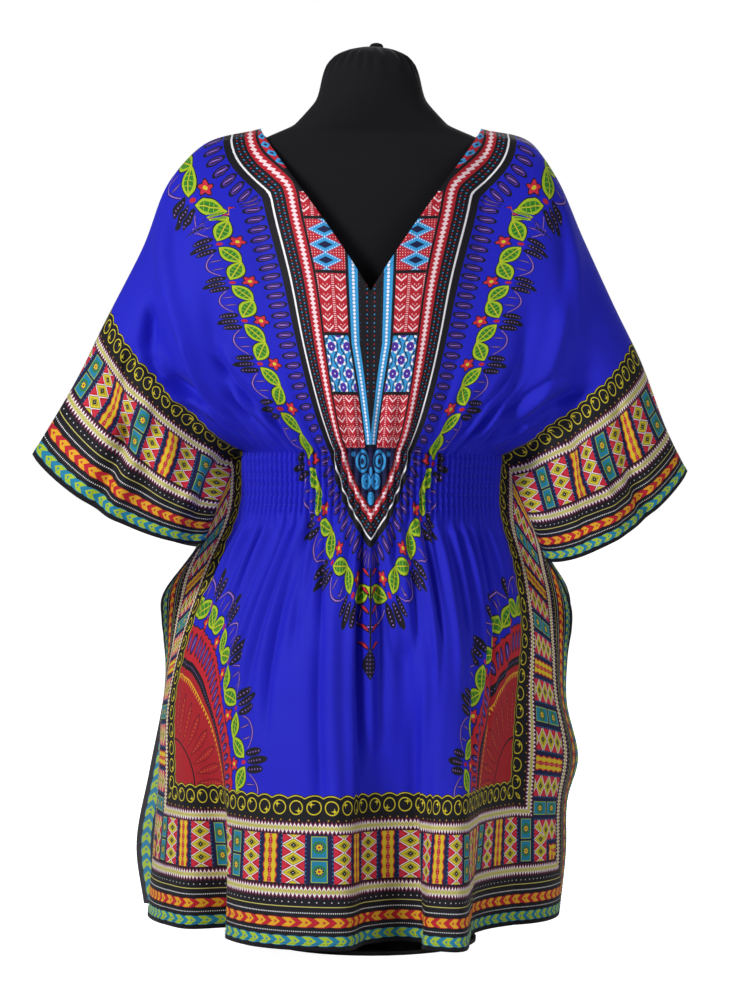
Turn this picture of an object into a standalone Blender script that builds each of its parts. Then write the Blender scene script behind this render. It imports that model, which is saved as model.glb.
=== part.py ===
"""A kaftan-cut dashiki shirt standing on a limbless dress form.

Metres, +Z up, +X to the viewer's right, the front faces -Y. The origin is the middle of the stand's underside.
Every cloth point has flat coordinates on its cut panel: u runs across from the centre line, v runs down from the
level of the neck points. Rails give where the cut's main lines hang, tables give the large folds, and gathers take
up the width that is left over.
"""

import math
from typing import NamedTuple

import bpy
import numpy as np

# The cut of one panel
HALF_PANEL = 0.560
HALF_BODY = 0.400
PANEL_LENGTH = 0.920
NECK_HALF = 0.120
SHOULDER_DROP = 0.115
FRONT_NECK_DEPTH = 0.192
BACK_NECK_DEPTH = 0.034
BACK_NECK_POWER = 0.55
SHIRR_TOP = 0.370
SHIRR_BOTTOM = 0.445
FOLD_LEVEL = 0.650

# The wall, and the gaps at seams
CLOTH = 0.0013
SEAM_GAP = 0.0003
BACK_SEAM_STEP = 0.0020

# Gathers: waves across the body of one panel, and the steepest slope of each kind in radians
SHIRR_WAVES = 50
GATHER_WAVES = 24
STEEPEST_SHIRR = 0.95
STEEPEST_GATHER = 0.90
BLOUSE_SLOPE = 0.45
LEAST_WIDTH = 0.3

# Levels down the cut over which each kind of wave comes and goes
SHIRR_COMES = (0.352, 0.370)
SHIRR_GOES = (0.447, 0.466)
GATHER_FADES = (0.50, 0.72)
GATHER_LOST = 0.9
BLOUSE_COMES = (0.25, 0.35)
FLAP_SWELLS = (0.50, 0.74)
SIDE_FADE = 0.05

# Shares of a crease's length over which it comes and goes
CREASE_COMES = (-0.10, 0.25)
CREASE_GOES = (0.70, 1.10)

# How finely a half row is worked out, and the mesh rows
DENSE = 1401
BODICE_SHARES = (0.0, 0.10, 0.24, 0.40, 0.56, 0.72, 0.86, 0.95)
SHIRR_LEVELS = (0.372, 0.408, 0.445)
SKIRT_LEVELS = (0.468, 0.505, 0.560, 0.640, 0.730, 0.825, 0.920)
FLAP_COLUMNS = 5
CLOSEST_COLUMNS = 0.006

# The stand
BASE_RADIUS = 0.118
BASE_HEIGHT = 0.006
BASE_BEVEL = 0.0015
BASE_RIM = 0.004
BASE_CROWN = 0.0002
BOSS_TAPER = 0.003
BOSS_RADIUS = 0.024
BOSS_HEIGHT = 0.016
POLE_RADIUS = 0.014
FORM_SIDES = 32
STAND_SIDES = 40
TUFT_SIDES = 12
TUFT_AT = (0.006, 0.000)
TUFT_BASE = 1.0023


class Station(NamedTuple):
    """A point of a rail: how far along the cut it lies, and where it hangs."""

    at: float
    x: float
    y: float
    z: float


class Ring(NamedTuple):
    """How deep the body of the garment is at a distance down the cut."""

    v: float
    front: float
    back: float


class Bulge(NamedTuple):
    """How far the bodice stands off the straight line from its top to the waist."""

    u: float
    out: float
    front: float
    back: float
    drop: float


class Fold(NamedTuple):
    """Where a line of the skirt stands halfway down and at the hem."""

    u: float
    mid_x: float
    mid_y: float
    hem_x: float
    hem_y: float


class Crease(NamedTuple):
    """A soft fold on the flat cut, from one end to the other. Depth is outwards."""

    u0: float
    v0: float
    u1: float
    v1: float
    width: float
    depth: float


class FormSection(NamedTuple):
    """A level of the dress form."""

    z: float
    half_width: float
    front: float
    back: float


LEFT_TOP = (
    Station(0.120, -0.124, 0.004, 0.912),
    Station(0.190, -0.189, 0.002, 0.893),
    Station(0.230, -0.217, 0.000, 0.865),
    Station(0.320, -0.254, -0.004, 0.781),
    Station(0.405, -0.298, -0.008, 0.694),
    Station(0.485, -0.333, -0.010, 0.623),
    Station(0.560, -0.379, -0.012, 0.545),
)
RIGHT_TOP = (
    Station(0.120, 0.124, 0.004, 0.912),
    Station(0.190, 0.184, 0.002, 0.892),
    Station(0.220, 0.202, 0.000, 0.865),
    Station(0.290, 0.235, -0.004, 0.792),
    Station(0.365, 0.278, -0.008, 0.700),
    Station(0.405, 0.299, -0.009, 0.657),
    Station(0.490, 0.331, -0.010, 0.573),
    Station(0.560, 0.354, -0.012, 0.526),
)
LEFT_SEAM = (
    Station(0.370, -0.149, 0.000, 0.550),
    Station(0.445, -0.152, 0.000, 0.482),
    Station(0.500, -0.176, 0.000, 0.427),
    Station(0.570, -0.204, 0.000, 0.354),
    Station(0.650, -0.222, 0.000, 0.275),
    Station(0.750, -0.224, 0.003, 0.176),
    Station(0.850, -0.230, 0.007, 0.083),
    Station(0.920, -0.236, 0.010, 0.016),
)
RIGHT_SEAM = (
    Station(0.370, 0.150, 0.000, 0.545),
    Station(0.445, 0.148, 0.000, 0.480),
    Station(0.500, 0.162, 0.000, 0.428),
    Station(0.570, 0.172, 0.000, 0.356),
    Station(0.650, 0.166, 0.000, 0.277),
    Station(0.750, 0.161, 0.000, 0.177),
    Station(0.850, 0.160, 0.000, 0.083),
    Station(0.920, 0.160, 0.000, 0.016),
)
LEFT_FRONT_EDGE = (
    Station(0.370, -0.186, -0.030, 0.447),
    Station(0.410, -0.206, -0.026, 0.424),
    Station(0.455, -0.232, -0.012, 0.390),
    Station(0.510, -0.236, 0.008, 0.358),
    Station(0.580, -0.233, 0.036, 0.316),
    Station(0.680, -0.239, 0.082, 0.238),
    Station(0.760, -0.244, 0.110, 0.170),
    Station(0.850, -0.252, 0.120, 0.084),
    Station(0.920, -0.257, 0.122, 0.016),
)
LEFT_BACK_EDGE = (
    Station(0.370, -0.186, 0.046, 0.442),
    Station(0.410, -0.209, 0.038, 0.422),
    Station(0.455, -0.230, 0.036, 0.396),
    Station(0.510, -0.238, 0.060, 0.352),
    Station(0.580, -0.238, 0.098, 0.306),
    Station(0.680, -0.246, 0.150, 0.250),
    Station(0.760, -0.262, 0.160, 0.172),
    Station(0.850, -0.277, 0.162, 0.084),
    Station(0.920, -0.268, 0.160, 0.018),
)
RIGHT_FRONT_EDGE = (
    Station(0.370, 0.196, -0.030, 0.427),
    Station(0.410, 0.214, -0.020, 0.400),
    Station(0.455, 0.225, 0.004, 0.374),
    Station(0.510, 0.228, 0.034, 0.346),
    Station(0.570, 0.225, 0.066, 0.312),
    Station(0.640, 0.226, 0.094, 0.258),
    Station(0.705, 0.240, 0.108, 0.196),
    Station(0.770, 0.228, 0.114, 0.146),
    Station(0.850, 0.226, 0.116, 0.082),
    Station(0.920, 0.218, 0.112, 0.016),
)
RIGHT_BACK_EDGE = (
    Station(0.370, 0.192, 0.046, 0.440),
    Station(0.410, 0.209, 0.046, 0.418),
    Station(0.455, 0.226, 0.048, 0.388),
    Station(0.510, 0.228, 0.078, 0.350),
    Station(0.570, 0.220, 0.110, 0.308),
    Station(0.640, 0.198, 0.146, 0.256),
    Station(0.705, 0.206, 0.154, 0.200),
    Station(0.770, 0.202, 0.158, 0.148),
    Station(0.850, 0.200, 0.160, 0.084),
    Station(0.920, 0.194, 0.158, 0.018),
)

THROAT_FRONT = -0.058
THROAT_BACK = 0.062
THROAT_HEIGHT = 0.905

RINGS = (
    Ring(0.370, -0.110, 0.104),
    Ring(0.445, -0.112, 0.106),
    Ring(0.500, -0.128, 0.120),
    Ring(0.600, -0.146, 0.136),
    Ring(0.920, -0.166, 0.156),
)
RING_POWER = 2.1
RING_DEPTH_SHARE = 0.75

BULGES = (
    Bulge(0.000, 0.000, -0.046, 0.034, 0.000),
    Bulge(0.120, 0.022, -0.060, 0.054, 0.000),
    Bulge(0.200, 0.040, -0.062, 0.058, 0.000),
    Bulge(0.300, 0.030, -0.062, 0.058, 0.000),
    Bulge(0.400, 0.018, -0.064, 0.058, -0.006),
    Bulge(0.480, 0.006, -0.062, 0.058, -0.016),
    Bulge(0.560, 0.000, -0.046, 0.048, -0.024),
)
BULGE_POWER = 0.75

# How far a flap's middle stands off the straight line from seam to edge, by side
FRONT_FLAP_BOW = {-1: (-0.008, -0.004, 0.0), 1: (0.014, -0.018, 0.0)}
BACK_FLAP_BOW = {-1: (0.024, 0.0, 0.0), 1: (-0.004, 0.0, 0.0)}

FRONT_FOLDS = (
    Fold(-0.400, -0.222, 0.000, -0.236, 0.010),
    Fold(-0.353, -0.206, -0.035, -0.205, -0.030),
    Fold(-0.300, -0.184, -0.060, -0.152, -0.018),
    Fold(-0.215, -0.152, -0.098, -0.157, -0.100),
    Fold(-0.150, -0.112, -0.134, -0.120, -0.158),
    Fold(-0.102, -0.072, -0.152, -0.075, -0.182),
    Fold(-0.058, -0.034, -0.157, -0.028, -0.187),
    Fold(0.000, -0.002, -0.142, -0.004, -0.138),
    Fold(0.042, 0.030, -0.138, 0.030, -0.114),
    Fold(0.068, 0.050, -0.142, 0.052, -0.124),
    Fold(0.128, 0.078, -0.150, 0.058, -0.178),
    Fold(0.172, 0.098, -0.140, 0.092, -0.196),
    Fold(0.250, 0.122, -0.098, 0.107, -0.122),
    Fold(0.302, 0.136, -0.066, 0.110, -0.072),
    Fold(0.355, 0.152, -0.030, 0.132, -0.028),
    Fold(0.400, 0.166, 0.000, 0.160, 0.000),
)
BACK_FOLDS = (
    Fold(-0.400, -0.222, 0.000, -0.236, 0.010),
    Fold(-0.350, -0.194, 0.030, -0.198, 0.050),
    Fold(-0.290, -0.168, 0.064, -0.164, 0.094),
    Fold(-0.230, -0.138, 0.100, -0.130, 0.140),
    Fold(-0.175, -0.102, 0.110, -0.090, 0.104),
    Fold(-0.125, -0.068, 0.128, -0.058, 0.140),
    Fold(-0.060, -0.020, 0.144, -0.010, 0.172),
    Fold(-0.005, 0.018, 0.136, 0.022, 0.130),
    Fold(0.045, 0.050, 0.142, 0.040, 0.170),
    Fold(0.085, 0.074, 0.136, 0.074, 0.174),
    Fold(0.150, 0.100, 0.112, 0.086, 0.114),
    Fold(0.185, 0.116, 0.100, 0.108, 0.128),
    Fold(0.235, 0.132, 0.084, 0.128, 0.164),
    Fold(0.275, 0.130, 0.066, 0.140, 0.132),
    Fold(0.340, 0.140, 0.036, 0.130, 0.060),
    Fold(0.400, 0.166, 0.000, 0.160, 0.000),
)

FRONT_CREASES = (
    Crease(-0.330, 0.350, -0.240, 0.130, 0.024, 0.013),
    Crease(-0.280, 0.345, -0.180, 0.190, 0.017, -0.008),
    Crease(-0.385, 0.320, -0.335, 0.150, 0.022, -0.012),
    Crease(-0.430, 0.110, -0.520, 0.300, 0.022, -0.016),
    Crease(0.335, 0.350, 0.245, 0.140, 0.024, 0.013),
    Crease(0.285, 0.345, 0.185, 0.200, 0.017, -0.008),
    Crease(0.390, 0.320, 0.345, 0.170, 0.022, -0.012),
    Crease(0.455, 0.280, 0.540, 0.200, 0.022, 0.010),
)
BACK_CREASES = (
    Crease(-0.330, 0.350, -0.240, 0.130, 0.024, 0.012),
    Crease(-0.385, 0.330, -0.330, 0.170, 0.022, -0.010),
    Crease(-0.450, 0.130, -0.520, 0.300, 0.024, -0.012),
    Crease(0.335, 0.350, 0.245, 0.130, 0.024, 0.012),
    Crease(0.385, 0.330, 0.335, 0.170, 0.022, -0.010),
)

FORM_SECTIONS = (
    FormSection(0.190, 0.112, -0.074, 0.076),
    FormSection(0.202, 0.126, -0.084, 0.086),
    FormSection(0.260, 0.132, -0.088, 0.092),
    FormSection(0.350, 0.130, -0.088, 0.092),
    FormSection(0.430, 0.116, -0.080, 0.082),
    FormSection(0.515, 0.106, -0.074, 0.070),
    FormSection(0.590, 0.116, -0.082, 0.074),
    FormSection(0.690, 0.146, -0.104, 0.088),
    FormSection(0.790, 0.148, -0.088, 0.084),
    FormSection(0.840, 0.151, -0.068, 0.068),
    FormSection(0.871, 0.154, -0.054, 0.062),
    FormSection(0.8896, 0.141, -0.040, 0.0515),
    FormSection(0.9025, 0.118, -0.033, 0.043),
    FormSection(0.915, 0.088, -0.039, 0.045),
    FormSection(0.944, 0.061, -0.049, 0.051),
    FormSection(0.970, 0.056, -0.050, 0.052),
    FormSection(0.984, 0.052, -0.048, 0.050),
    FormSection(0.993, 0.043, -0.040, 0.042),
    FormSection(0.999, 0.030, -0.028, 0.030),
    FormSection(1.002, 0.016, -0.016, 0.016),
)
TUFT_SECTIONS = (
    FormSection(0.0000, 0.0070, -0.0060, 0.0060),
    FormSection(0.0020, 0.0080, -0.0068, 0.0068),
    FormSection(0.0045, 0.0064, -0.0054, 0.0054),
    FormSection(0.0058, 0.0030, -0.0026, 0.0026),
)

# Colour, roughness and metallic of each finish
FINISHES = {
    "blue_cotton": ((0.035, 0.035, 0.62, 1.0), 0.75, 0.0),
    "black_jersey": ((0.012, 0.012, 0.015, 1.0), 0.85, 0.0),
    "black_steel": ((0.02, 0.02, 0.022, 1.0), 0.45, 0.8),
}


def rise(low, high, value):
    """0 below low, 1 above high and a smooth rise between."""
    t = np.clip((value - low) / (high - low), 0.0, 1.0)
    return t * t * (3.0 - 2.0 * t)


def through(rows, at):
    """A smooth curve through a table whose first column is the place. One row of values per place asked for."""
    rows = np.array(rows, float)
    knots, values = rows[:, 0], rows[:, 1:]
    slopes = np.gradient(values, knots, axis=0)
    at = np.clip(np.asarray(at, float), knots[0], knots[-1])
    left = np.clip(np.searchsorted(knots, at, side="right") - 1, 0, len(knots) - 2)
    span = (knots[left + 1] - knots[left])[:, None]
    t = (at - knots[left])[:, None] / span
    return (
        values[left] * (2 * t**3 - 3 * t**2 + 1)
        + slopes[left] * span * (t**3 - 2 * t**2 + t)
        + values[left + 1] * (3 * t**2 - 2 * t**3)
        + slopes[left + 1] * span * (t**3 - t**2)
    )


def fold_table():
    """Slopes of a wavy row of cloth, and the share of its length that each leaves."""
    turn = np.linspace(0.0, 2.0 * math.pi, 181)[:-1]
    slopes = np.linspace(0.0, 1.9, 60)
    return slopes, np.cos(slopes[:, None] * np.sin(turn)).mean(axis=1)


FOLD_SLOPES, LENGTH_LEFT = fold_table()


def even_turns():
    """Angles of the body's ring at even steps along it."""
    turn = np.linspace(0.0, math.pi / 2, 801)
    x, y = np.sin(turn), RING_DEPTH_SHARE * np.cos(turn) ** RING_POWER
    walked = np.concatenate([[0.0], np.cumsum(np.hypot(np.diff(x), np.diff(y)))])
    return walked / walked[-1], turn


RING_WALKED, RING_TURNS = even_turns()


def slope_for(share):
    """The slope of the waves that leave this share of a row's length."""
    return np.interp(-np.clip(share, LENGTH_LEFT[-1], 1.0), -LENGTH_LEFT, FOLD_SLOPES)


class Panel:
    """The front or the back panel as it hangs."""

    def __init__(self, front):
        self.front = front
        self.sign = -1.0 if front else 1.0
        left, right = (LEFT_FRONT_EDGE, RIGHT_FRONT_EDGE) if front else (LEFT_BACK_EDGE, RIGHT_BACK_EDGE)
        self.edges = {-1: left, 1: right}
        self.folds = FRONT_FOLDS if front else BACK_FOLDS
        self.creases = FRONT_CREASES if front else BACK_CREASES
        self.neck_depth = FRONT_NECK_DEPTH if front else BACK_NECK_DEPTH
        self.neck_power = 1.0 if front else BACK_NECK_POWER

    def top_of_cut(self, u):
        """v of the cut's top: the neckline inside the neck points, the sloping shoulder outside."""
        inside = np.clip(1.0 - np.abs(u) / NECK_HALF, 0.0, 1.0)
        return self.neck_depth * inside**self.neck_power + shoulder_fall(u)

    def seam(self, side, v):
        """Where this panel's side seam hangs."""
        points = through(LEFT_SEAM if side < 0 else RIGHT_SEAM, v)
        if not self.front:
            points = points + np.array([-side * BACK_SEAM_STEP, BACK_SEAM_STEP, 0.0])
        return points

    def ring(self, side, u, v):
        """The body from the centre to the seam, with its large folds."""
        turn = np.interp(u / HALF_BODY, RING_WALKED, RING_TURNS)
        folding = rise(SHIRR_BOTTOM, FOLD_LEVEL, v)[:, None]
        lower = np.clip((v - FOLD_LEVEL) / (PANEL_LENGTH - FOLD_LEVEL), 0.0, 1.0)[:, None]
        seam = self.seam(side, v)
        depth = through(RINGS, v)[:, 0 if self.front else 1]
        middle = 0.5 * (through(LEFT_SEAM, v)[:, 2] + through(RIGHT_SEAM, v)[:, 2])
        height = middle + (seam[:, 2] - middle) * np.sin(turn) ** 2
        y = seam[:, 1] + (depth - seam[:, 1]) * np.cos(turn) ** RING_POWER
        plain = np.stack([seam[:, 0] * np.sin(turn), y], axis=1)
        folded, ends = self.fold_lines(side * u, lower), self.fold_lines(np.full_like(u, side * HALF_BODY), lower)
        out = (u / HALF_BODY)[:, None]
        folded = folded + (seam[:, :2] - ends) * out
        plan = plain * (1.0 - folding) + folded * folding
        return np.concatenate([plan, height[:, None]], axis=1)

    def fold_lines(self, u, lower):
        """The plan of the folded skirt, from halfway down to the hem."""
        folds = through(self.folds, u)
        return folds[:, :2] * (1.0 - lower) + folds[:, 2:] * lower

    def flap(self, side, u, v):
        """The free cloth from the side seam to the edge."""
        share = np.clip((u - HALF_BODY) / (HALF_PANEL - HALF_BODY), 0.0, 1.0)[:, None]
        seam, edge = self.seam(side, v), through(self.edges[side], v)
        early = 4.0 * share * (1.0 - share)
        late = 6.75 * share**2 * (1.0 - share)
        swell = (early if self.front else late) * rise(*FLAP_SWELLS, v)[:, None]
        out = np.array(FRONT_FLAP_BOW[side] if self.front else BACK_FLAP_BOW[side])
        return seam * (1.0 - share) + edge * share + out * swell

    def body(self, side, u, v):
        """Everything below the top of the waist."""
        return np.where((u <= HALF_BODY)[:, None], self.ring(side, u, v), self.flap(side, u, v))

    def bodice(self, side, u, v):
        """The bodice and sleeve, above the waist."""
        rail = LEFT_TOP if side < 0 else RIGHT_TOP
        inner = np.clip(u / NECK_HALF, 0.0, 1.0)
        throat_y = THROAT_FRONT if self.front else THROAT_BACK
        throat = np.stack(
            [
                rail[0].x * inner,
                throat_y + (rail[0].y - throat_y) * inner**2,
                THROAT_HEIGHT + (rail[0].z - THROAT_HEIGHT) * inner,
            ],
            axis=1,
        )
        top = np.where((u < NECK_HALF)[:, None], throat, through(rail, u))
        low = self.body(side, u, np.full_like(u, SHIRR_TOP))
        start = shoulder_fall(u)
        share = np.clip((v - start) / (SHIRR_TOP - start), 0.0, 1.0)
        bulge = through(BULGES, u)
        depth = bulge[:, 1] if self.front else bulge[:, 2]
        offset = np.stack([side * bulge[:, 0], depth, bulge[:, 3]], axis=1)
        swell = (4.0 * share * (1.0 - share))[:, None] ** BULGE_POWER
        return top * (1.0 - share[:, None]) + low * share[:, None] + offset * swell

    def base(self, side, u, v):
        """The surface with no gathers or creases."""
        return np.where((v < SHIRR_TOP)[:, None], self.bodice(side, u, v), self.body(side, u, v))

    def crease(self, u, v):
        """How far the creases lift the cloth at flat places."""
        lift = np.zeros_like(u)
        for line in self.creases:
            du, dv = line.u1 - line.u0, line.v1 - line.v0
            along = ((u - line.u0) * du + (v - line.v0) * dv) / (du * du + dv * dv)
            across = ((v - line.v0) * du - (u - line.u0) * dv) / math.hypot(du, dv)
            inside = rise(*CREASE_COMES, along) * (1.0 - rise(*CREASE_GOES, along))
            lift += line.depth * inside * np.exp(-((across / line.width) ** 2))
        return lift

    def half_row(self, side, fall):
        """A dense half row from the centre to the free edge. fall gives v at a distance from the centre."""
        u = np.linspace(0.0, HALF_PANEL, DENSE)
        v = fall(u)
        step = 0.001
        lead = self.base(side, np.minimum(u + step, HALF_PANEL), v)
        tail = self.base(side, np.maximum(u - step, 0.0), v)
        run = np.minimum(u + step, HALF_PANEL) - np.maximum(u - step, 0.0)
        tangent = (lead - tail) / run[:, None]
        speed = np.clip(np.linalg.norm(tangent, axis=1), LEAST_WIDTH, 1.0)
        shirr = rise(*SHIRR_COMES, v) * (1.0 - rise(*SHIRR_GOES, v))
        gather = rise(*SHIRR_GOES, v) * (1.0 - GATHER_LOST * rise(*GATHER_FADES, v))
        blouse = rise(*BLOUSE_COMES, v) * (1.0 - rise(*SHIRR_COMES, v))
        body = 1.0 - rise(HALF_BODY - SIDE_FADE, HALF_BODY, u)
        needed = slope_for(speed)
        fine = np.minimum(needed, STEEPEST_SHIRR) * shirr * body
        wide = np.minimum(needed, STEEPEST_GATHER) * gather * body + BLOUSE_SLOPE * blouse * body
        wave = side * u / (2.0 * HALF_BODY)
        angle = -fine * np.sin(2.0 * math.pi * SHIRR_WAVES * wave)
        angle = side * (angle - wide * np.sin(2.0 * math.pi * GATHER_WAVES * wave))
        height = np.concatenate([[0.0], np.cumsum(np.sin(0.5 * (angle[1:] + angle[:-1])))]) * (u[1] - u[0])
        last = int(np.searchsorted(u, HALF_BODY, side="right")) - 1
        height = np.where(u <= HALF_BODY, height - height[last] * u / HALF_BODY, 0.0)
        outward = np.stack([tangent[:, 1], -tangent[:, 0], np.zeros_like(u)], axis=1)
        outward *= -side * self.sign / np.maximum(np.linalg.norm(outward, axis=1), 1e-9)[:, None]
        return u, self.base(side, u, v) + outward * (height + self.crease(side * u, v))[:, None]

    def row(self, columns, fall):
        """Points of a whole row at the given columns."""
        points = np.zeros((len(columns), 3))
        for side in (-1, 1):
            u, dense = self.half_row(side, fall)
            chosen = columns * side > 0 if side < 0 else columns >= 0
            for axis in range(3):
                points[chosen, axis] = np.interp(np.abs(columns[chosen]), u, dense[:, axis])
        return points

    def rows(self):
        """Columns and points of every mesh row, from the top of the cut to the hem."""
        wide, fine = columns_for(GATHER_WAVES), columns_for(SHIRR_WAVES)
        made = []
        for share in BODICE_SHARES:
            made.append((wide, self.row(wide, lambda u, q=share: self.blend(u, q))))
        for level in SHIRR_LEVELS:
            made.append((fine, self.row(fine, lambda u, v=level: np.full_like(u, v))))
        for level in SKIRT_LEVELS:
            made.append((wide, self.row(wide, lambda u, v=level: np.full_like(u, v))))
        return made

    def blend(self, u, share):
        """v at a share of the way from the top of the cut to the waist."""
        return self.top_of_cut(u) * (1.0 - share) + SHIRR_TOP * share


def shoulder_fall(u):
    """How far the shoulder and sleeve line has dropped at a distance from the centre."""
    outside = np.clip(np.abs(u) - NECK_HALF, 0.0, None)
    return SHOULDER_DROP * outside / (HALF_PANEL - NECK_HALF)


def columns_for(waves):
    """Mesh columns at the crests and dips of the waves, at the neck points and across the flaps."""
    crests = np.arange(0, waves + 1) * HALF_BODY / waves
    crests = crests[np.abs(crests - NECK_HALF) > CLOSEST_COLUMNS]
    flap = HALF_BODY + (HALF_PANEL - HALF_BODY) * np.arange(1, FLAP_COLUMNS + 1) / FLAP_COLUMNS
    half = np.sort(np.concatenate([crests, [NECK_HALF], flap]))
    return np.concatenate([-half[:0:-1], half])


def stitch(upper, upper_start, lower, lower_start):
    """Triangles between two rows whose columns differ."""
    faces = []
    i = j = 0
    while i < len(upper) - 1 or j < len(lower) - 1:
        ahead = upper[min(i + 1, len(upper) - 1)] - lower[min(j + 1, len(lower) - 1)]
        level = abs(ahead) < 1e-9
        take_upper = j == len(lower) - 1 or (i < len(upper) - 1 and (upper[i] < 0.0 if level else ahead < 0.0))
        a, b = upper_start + i, lower_start + j
        if take_upper:
            faces.append((a, b, a + 1))
            i += 1
        else:
            faces.append((a, b, b + 1))
            j += 1
    return faces


def corner_normals(points, faces):
    """The unit normal of a sheet at each of its points, each face weighed by its angle there."""
    corners = points[faces]
    facing = unit(np.cross(corners[:, 1] - corners[:, 0], corners[:, 2] - corners[:, 0]))
    normals = np.zeros_like(points)
    for corner in range(3):
        to_next = unit(corners[:, (corner + 1) % 3] - corners[:, corner])
        to_last = unit(corners[:, (corner + 2) % 3] - corners[:, corner])
        angle = np.arccos(np.clip((to_next * to_last).sum(axis=1), -1.0, 1.0))
        np.add.at(normals, faces[:, corner], facing * angle[:, None])
    return unit(normals)


def unit(vectors):
    """The vectors at length one."""
    return vectors / np.maximum(np.linalg.norm(vectors, axis=1), 1e-12)[:, None]


def part_the_shoulder(panel, rows, points, normals):
    """Move the panel's sleeve seam so that the two panels' edges are one seam gap apart."""
    count = len(rows[0][0])
    outside = np.abs(rows[0][0]) >= NECK_HALF - 1e-6
    reach = CLOTH / 2 * np.abs(normals[:count, 1]) + SEAM_GAP / 2
    points[:count, 1] += np.where(outside, panel.sign * reach, 0.0)


def cloth_solid(name, panel):
    """The panel as a closed wall."""
    rows = panel.rows()
    starts = np.concatenate([[0], np.cumsum([len(columns) for columns, _ in rows])])
    points = np.concatenate([row for _, row in rows])
    faces = []
    for index in range(len(rows) - 1):
        faces += stitch(rows[index][0], starts[index], rows[index + 1][0], starts[index + 1])
    faces = np.array(faces)
    if not panel.front:
        faces = faces[:, ::-1]
    normals = corner_normals(points, faces)
    part_the_shoulder(panel, rows, points, normals)
    outer, inner = points + normals * CLOTH / 2, points - normals * CLOTH / 2
    count = len(points)
    rim = list(range(len(rows[0][0])))
    rim += [start - 1 for start in starts[2:]]
    rim += list(range(starts[-1] - 2, starts[-2] - 1, -1))
    rim += [starts[index] for index in range(len(rows) - 2, 0, -1)]
    walls = []
    for a, b in zip(rim, rim[1:] + rim[:1]):
        quad = (a, b, b + count, a + count)
        walls.append(quad if panel.front else quad[::-1])
    inner_faces = faces[:, ::-1] + count
    all_faces = [tuple(int(k) for k in face) for face in (*faces, *inner_faces, *walls)]
    return add_object(name, np.concatenate([outer, inner]), all_faces, "blue_cotton", False)


def loft(name, sections, sides, finish, centre=(0.0, 0.0), base=0.0):
    """A closed solid through level oval sections."""
    turn = np.arange(sides) * 2.0 * math.pi / sides
    points = []
    for section in sections:
        x = section.half_width * np.cos(turn)
        y = np.where(np.sin(turn) < 0, -section.front, section.back) * np.sin(turn)
        z = np.full(sides, base + section.z)
        points.append(np.stack([centre[0] + x, centre[1] + y, z], axis=1))
    faces = [tuple(range(sides))[::-1]]
    for level in range(len(sections) - 1):
        for k in range(sides):
            a, b = level * sides + k, level * sides + (k + 1) % sides
            faces.append((a, b, b + sides, a + sides))
    last = (len(sections) - 1) * sides
    faces.append(tuple(range(last, last + sides)))
    return add_object(name, np.concatenate(points), faces, finish, True)


def finish_material(name):
    """The finish as a Principled material, made once."""
    made = bpy.data.materials.get(name)
    if made is None:
        colour, roughness, metallic = FINISHES[name]
        made = bpy.data.materials.new(name)
        made.use_nodes = True
        shader = made.node_tree.nodes["Principled BSDF"]
        shader.inputs["Base Color"].default_value = colour
        shader.inputs["Roughness"].default_value = roughness
        shader.inputs["Metallic"].default_value = metallic
    return made


def add_object(name, points, faces, finish, rounded):
    """A mesh object in the scene."""
    mesh = bpy.data.meshes.new(name)
    mesh.from_pydata([tuple(float(k) for k in point) for point in points], [], faces)
    mesh.validate()
    for polygon in mesh.polygons:
        polygon.use_smooth = rounded
    mesh.materials.append(finish_material(finish))
    made = bpy.data.objects.new(name, mesh)
    bpy.context.scene.collection.objects.link(made)
    return made


def round_section(z, radius):
    """A round level of a turned piece."""
    return FormSection(z, radius, -radius, radius)


def build():
    """Every piece of the part."""
    for old in list(bpy.data.objects):
        bpy.data.objects.remove(old, do_unlink=True)
    cloth_solid("front_panel", Panel(True))
    cloth_solid("back_panel", Panel(False))
    loft("dress_form", FORM_SECTIONS, FORM_SIDES, "black_jersey")
    loft("neck_tuft", TUFT_SECTIONS, TUFT_SIDES, "black_jersey", TUFT_AT, TUFT_BASE)
    base = (
        round_section(0.0, BASE_RADIUS),
        round_section(BASE_HEIGHT - BASE_BEVEL, BASE_RADIUS),
        round_section(BASE_HEIGHT, BASE_RADIUS - BASE_RIM),
        round_section(BASE_HEIGHT + BASE_CROWN, BOSS_RADIUS),
        round_section(BOSS_HEIGHT, BOSS_RADIUS - BOSS_TAPER),
    )
    loft("stand_base", base, STAND_SIDES, "black_steel")
    pole = (
        round_section(BOSS_HEIGHT + SEAM_GAP, POLE_RADIUS),
        round_section(FORM_SECTIONS[0].z - SEAM_GAP, POLE_RADIUS),
    )
    loft("stand_pole", pole, STAND_SIDES, "black_steel")


build()
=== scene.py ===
"""A kaftan-cut dashiki shirt on a limbless dress form, dressed for its picture.

Metres, +Z up, the front faces -Y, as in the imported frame. Each cloth panel is a thin shell on its solid's
form: its flat cut gives every point a place (u across from the centre line, v down from the neck points).
The same place carries the print, so the pattern runs with the cloth into every fold.
"""

from __future__ import annotations

import logging
import math
from dataclasses import dataclass, field
from enum import Enum
from typing import Callable, NamedTuple, Union

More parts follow.
